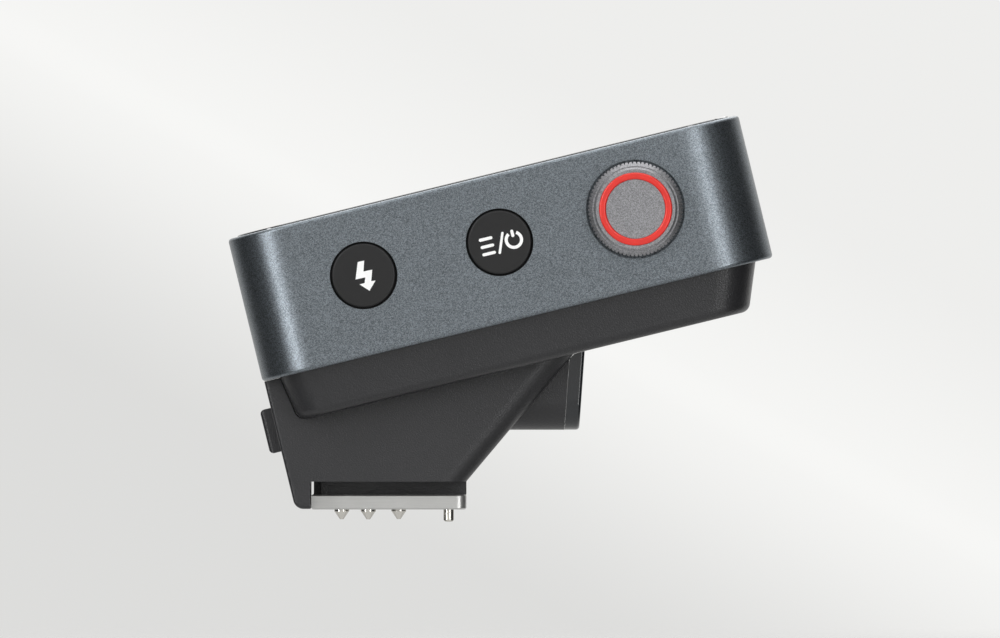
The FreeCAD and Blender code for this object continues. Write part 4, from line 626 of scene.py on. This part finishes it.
def add_lamp(name, azimuth, elevation, size, power):
    """A soft lamp one metre from the aim. A fill isn't mirrored in gloss."""
    across, up = math.radians(azimuth), math.radians(elevation)
    place = AIM + Vector((
        math.sin(across) * math.cos(up), -math.cos(across) * math.cos(up), math.sin(up)))
    lamp = bpy.data.objects.new(name, bpy.data.lights.new(name, "AREA"))
    lamp.data.shape = "RECTANGLE"
    lamp.data.size, lamp.data.size_y = size
    lamp.data.energy = power
    lamp.visible_camera = False
    lamp.visible_glossy = not name.endswith("fill")
    lamp.location = place
    lamp.rotation_euler = (AIM - place).to_track_quat("-Z", "Y").to_euler()
    bpy.context.scene.collection.objects.link(lamp)


def make_backdrop(ambient, reach):
    """A pale backdrop with one broad diagonal sheen, dark towards both sides for gloss."""
    world = bpy.data.worlds.new("backdrop")
    bpy.context.scene.world = world
    world.use_nodes = True
    tree = world.node_tree
    link = tree.links.new
    sky = tree.nodes["Background"]
    place = add(tree, "TexCoord")
    lean = add(tree, "VectorMath", {1: SHEEN_LEAN}, operation="DOT_PRODUCT")
    near, far = SHEEN_EDGES
    band = add(tree, "MapRange", {"From Min": near / reach, "From Max": far / reach})
    sheen = add(tree, "ValToRGB")
    ramp = sheen.color_ramp
    ramp.interpolation = "B_SPLINE"
    for position, _ in SHEEN_LEVELS[1:-1]:
        ramp.elements.new(position)
    for element, (position, grey) in zip(ramp.elements, SHEEN_LEVELS):
        element.position = position
        element.color = (grey, grey, grey * 0.985, 1.0)
    rays = add(tree, "LightPath")
    seen = add(tree, "Math", operation="MAXIMUM")
    shown = add(tree, "Math", operation="MAXIMUM")
    level = add(tree, "MapRange", {"To Min": ambient, "To Max": 1.0})
    axes = add(tree, "SeparateXYZ")
    sideways = add(tree, "Math", operation="ABSOLUTE")
    flag = add(tree, "MapRange", {
        "From Min": 0.60, "From Max": 0.85, "To Min": 1.0, "To Max": 0.06})
    only_gloss = add(tree, "Mix", {"A": 1.0}, data_type="FLOAT")
    strength = add(tree, "Math", operation="MULTIPLY")
    link(place.outputs["Generated"], lean.inputs[0])
    link(lean.outputs["Value"], band.inputs["Value"])
    link(band.outputs["Result"], sheen.inputs["Fac"])
    link(sheen.outputs["Color"], sky.inputs["Color"])
    link(rays.outputs["Is Camera Ray"], seen.inputs[0])
    link(rays.outputs["Is Glossy Ray"], seen.inputs[1])
    link(seen.outputs["Value"], shown.inputs[0])
    link(rays.outputs["Is Transmission Ray"], shown.inputs[1])
    link(shown.outputs["Value"], level.inputs["Value"])
    link(place.outputs["Generated"], axes.inputs["Vector"])
    link(axes.outputs["X"], sideways.inputs[0])
    link(sideways.outputs["Value"], flag.inputs["Value"])
    link(rays.outputs["Is Glossy Ray"], only_gloss.inputs["Factor"])
    link(flag.outputs["Result"], only_gloss.inputs["B"])
    link(level.outputs["Result"], strength.inputs[0])
    link(only_gloss.outputs["Result"], strength.inputs[1])
    link(strength.outputs["Value"], sky.inputs["Strength"])


def make_floor(tint, drop):
    """A pale floor below the pins, which melts into the backdrop further out."""
    shape = bmesh.new()
    bmesh.ops.create_circle(shape, cap_ends=True, segments=96, radius=FLOOR_RADIUS)
    mesh = bpy.data.meshes.new("floor")
    shape.to_mesh(mesh)
    shape.free()
    floor = bpy.data.objects.new("floor", mesh)
    floor.location = (AIM.x, 0.0, CAD_BOX[0][2] - drop)
    bpy.context.scene.collection.objects.link(floor)
    material = bpy.data.materials.new("floor_paper")
    material.use_nodes = True
    tree = material.node_tree
    link = tree.links.new
    paper = tree.nodes["Principled BSDF"]
    paper.inputs["Base Color"].default_value = shade(tint, 1.0)
    paper.inputs["Roughness"].default_value = 0.9
    place = add(tree, "TexCoord")
    reach = add(tree, "VectorMath", operation="LENGTH")
    fade = add(
        tree, "MapRange", {"From Min": 0.08, "From Max": 0.45}, interpolation_type="SMOOTHSTEP")
    rays = add(tree, "LightPath")
    hidden = add(tree, "Math", operation="MULTIPLY")
    clear = add(tree, "Math", operation="MAXIMUM")
    through = add(tree, "BsdfTransparent")
    both = add(tree, "MixShader")
    link(place.outputs["Object"], reach.inputs[0])
    link(reach.outputs["Value"], fade.inputs["Value"])
    link(fade.outputs["Result"], hidden.inputs[0])
    link(rays.outputs["Is Camera Ray"], hidden.inputs[1])
    link(hidden.outputs["Value"], clear.inputs[0])
    link(rays.outputs["Is Glossy Ray"], clear.inputs[1])
    link(clear.outputs["Value"], both.inputs["Fac"])
    link(paper.outputs["BSDF"], both.inputs[1])
    link(through.outputs["BSDF"], both.inputs[2])
    link(both.outputs["Shader"], tree.nodes["Material Output"].inputs["Surface"])
    floor.data.materials.append(material)


OPERATORS = (
    TRIGGER_OT_case, TRIGGER_OT_screen, TRIGGER_OT_keys, TRIGGER_OT_dial, TRIGGER_OT_shoe,
    TRIGGER_OT_contacts, TRIGGER_OT_lamp, TRIGGER_OT_electronics, TRIGGER_OT_stage,
)


class TRIGGER_PT_panel(bpy.types.Panel):
    """Settings and steps of the flash trigger"""

    bl_idname = "TRIGGER_PT_panel"
    bl_label = "Flash trigger"
    bl_space_type = "VIEW_3D"
    bl_region_type = "UI"
    bl_category = "Flash trigger"

    def draw(self, context):
        for group in SETTINGS:
            box = self.layout.box()
            held = getattr(context.scene, group)
            for name in held.bl_rna.properties.keys():
                if name not in {"rna_type", "name"}:
                    box.prop(held, name)
        for operator in OPERATORS:
            self.layout.operator(operator.bl_idname)


SETTINGS = {
    "trigger_colours": TriggerColours,
    "trigger_grain": TriggerGrain,
    "trigger_symbols": TriggerSymbols,
    "trigger_stage": TriggerStage,
}


def register():
    for made in (*SETTINGS.values(), *OPERATORS, TRIGGER_PT_panel):
        bpy.utils.register_class(made)
    for name, group in SETTINGS.items():
        setattr(bpy.types.Scene, name, PointerProperty(type=group))


def unregister():
    for name in SETTINGS:
        delattr(bpy.types.Scene, name)
    for made in reversed((*SETTINGS.values(), *OPERATORS, TRIGGER_PT_panel)):
        bpy.utils.unregister_class(made)


def main():
    register()
    for operator in OPERATORS:
        getattr(bpy.ops.trigger, operator.bl_idname.split(".")[1])()


if __name__ == "__main__":
    main()
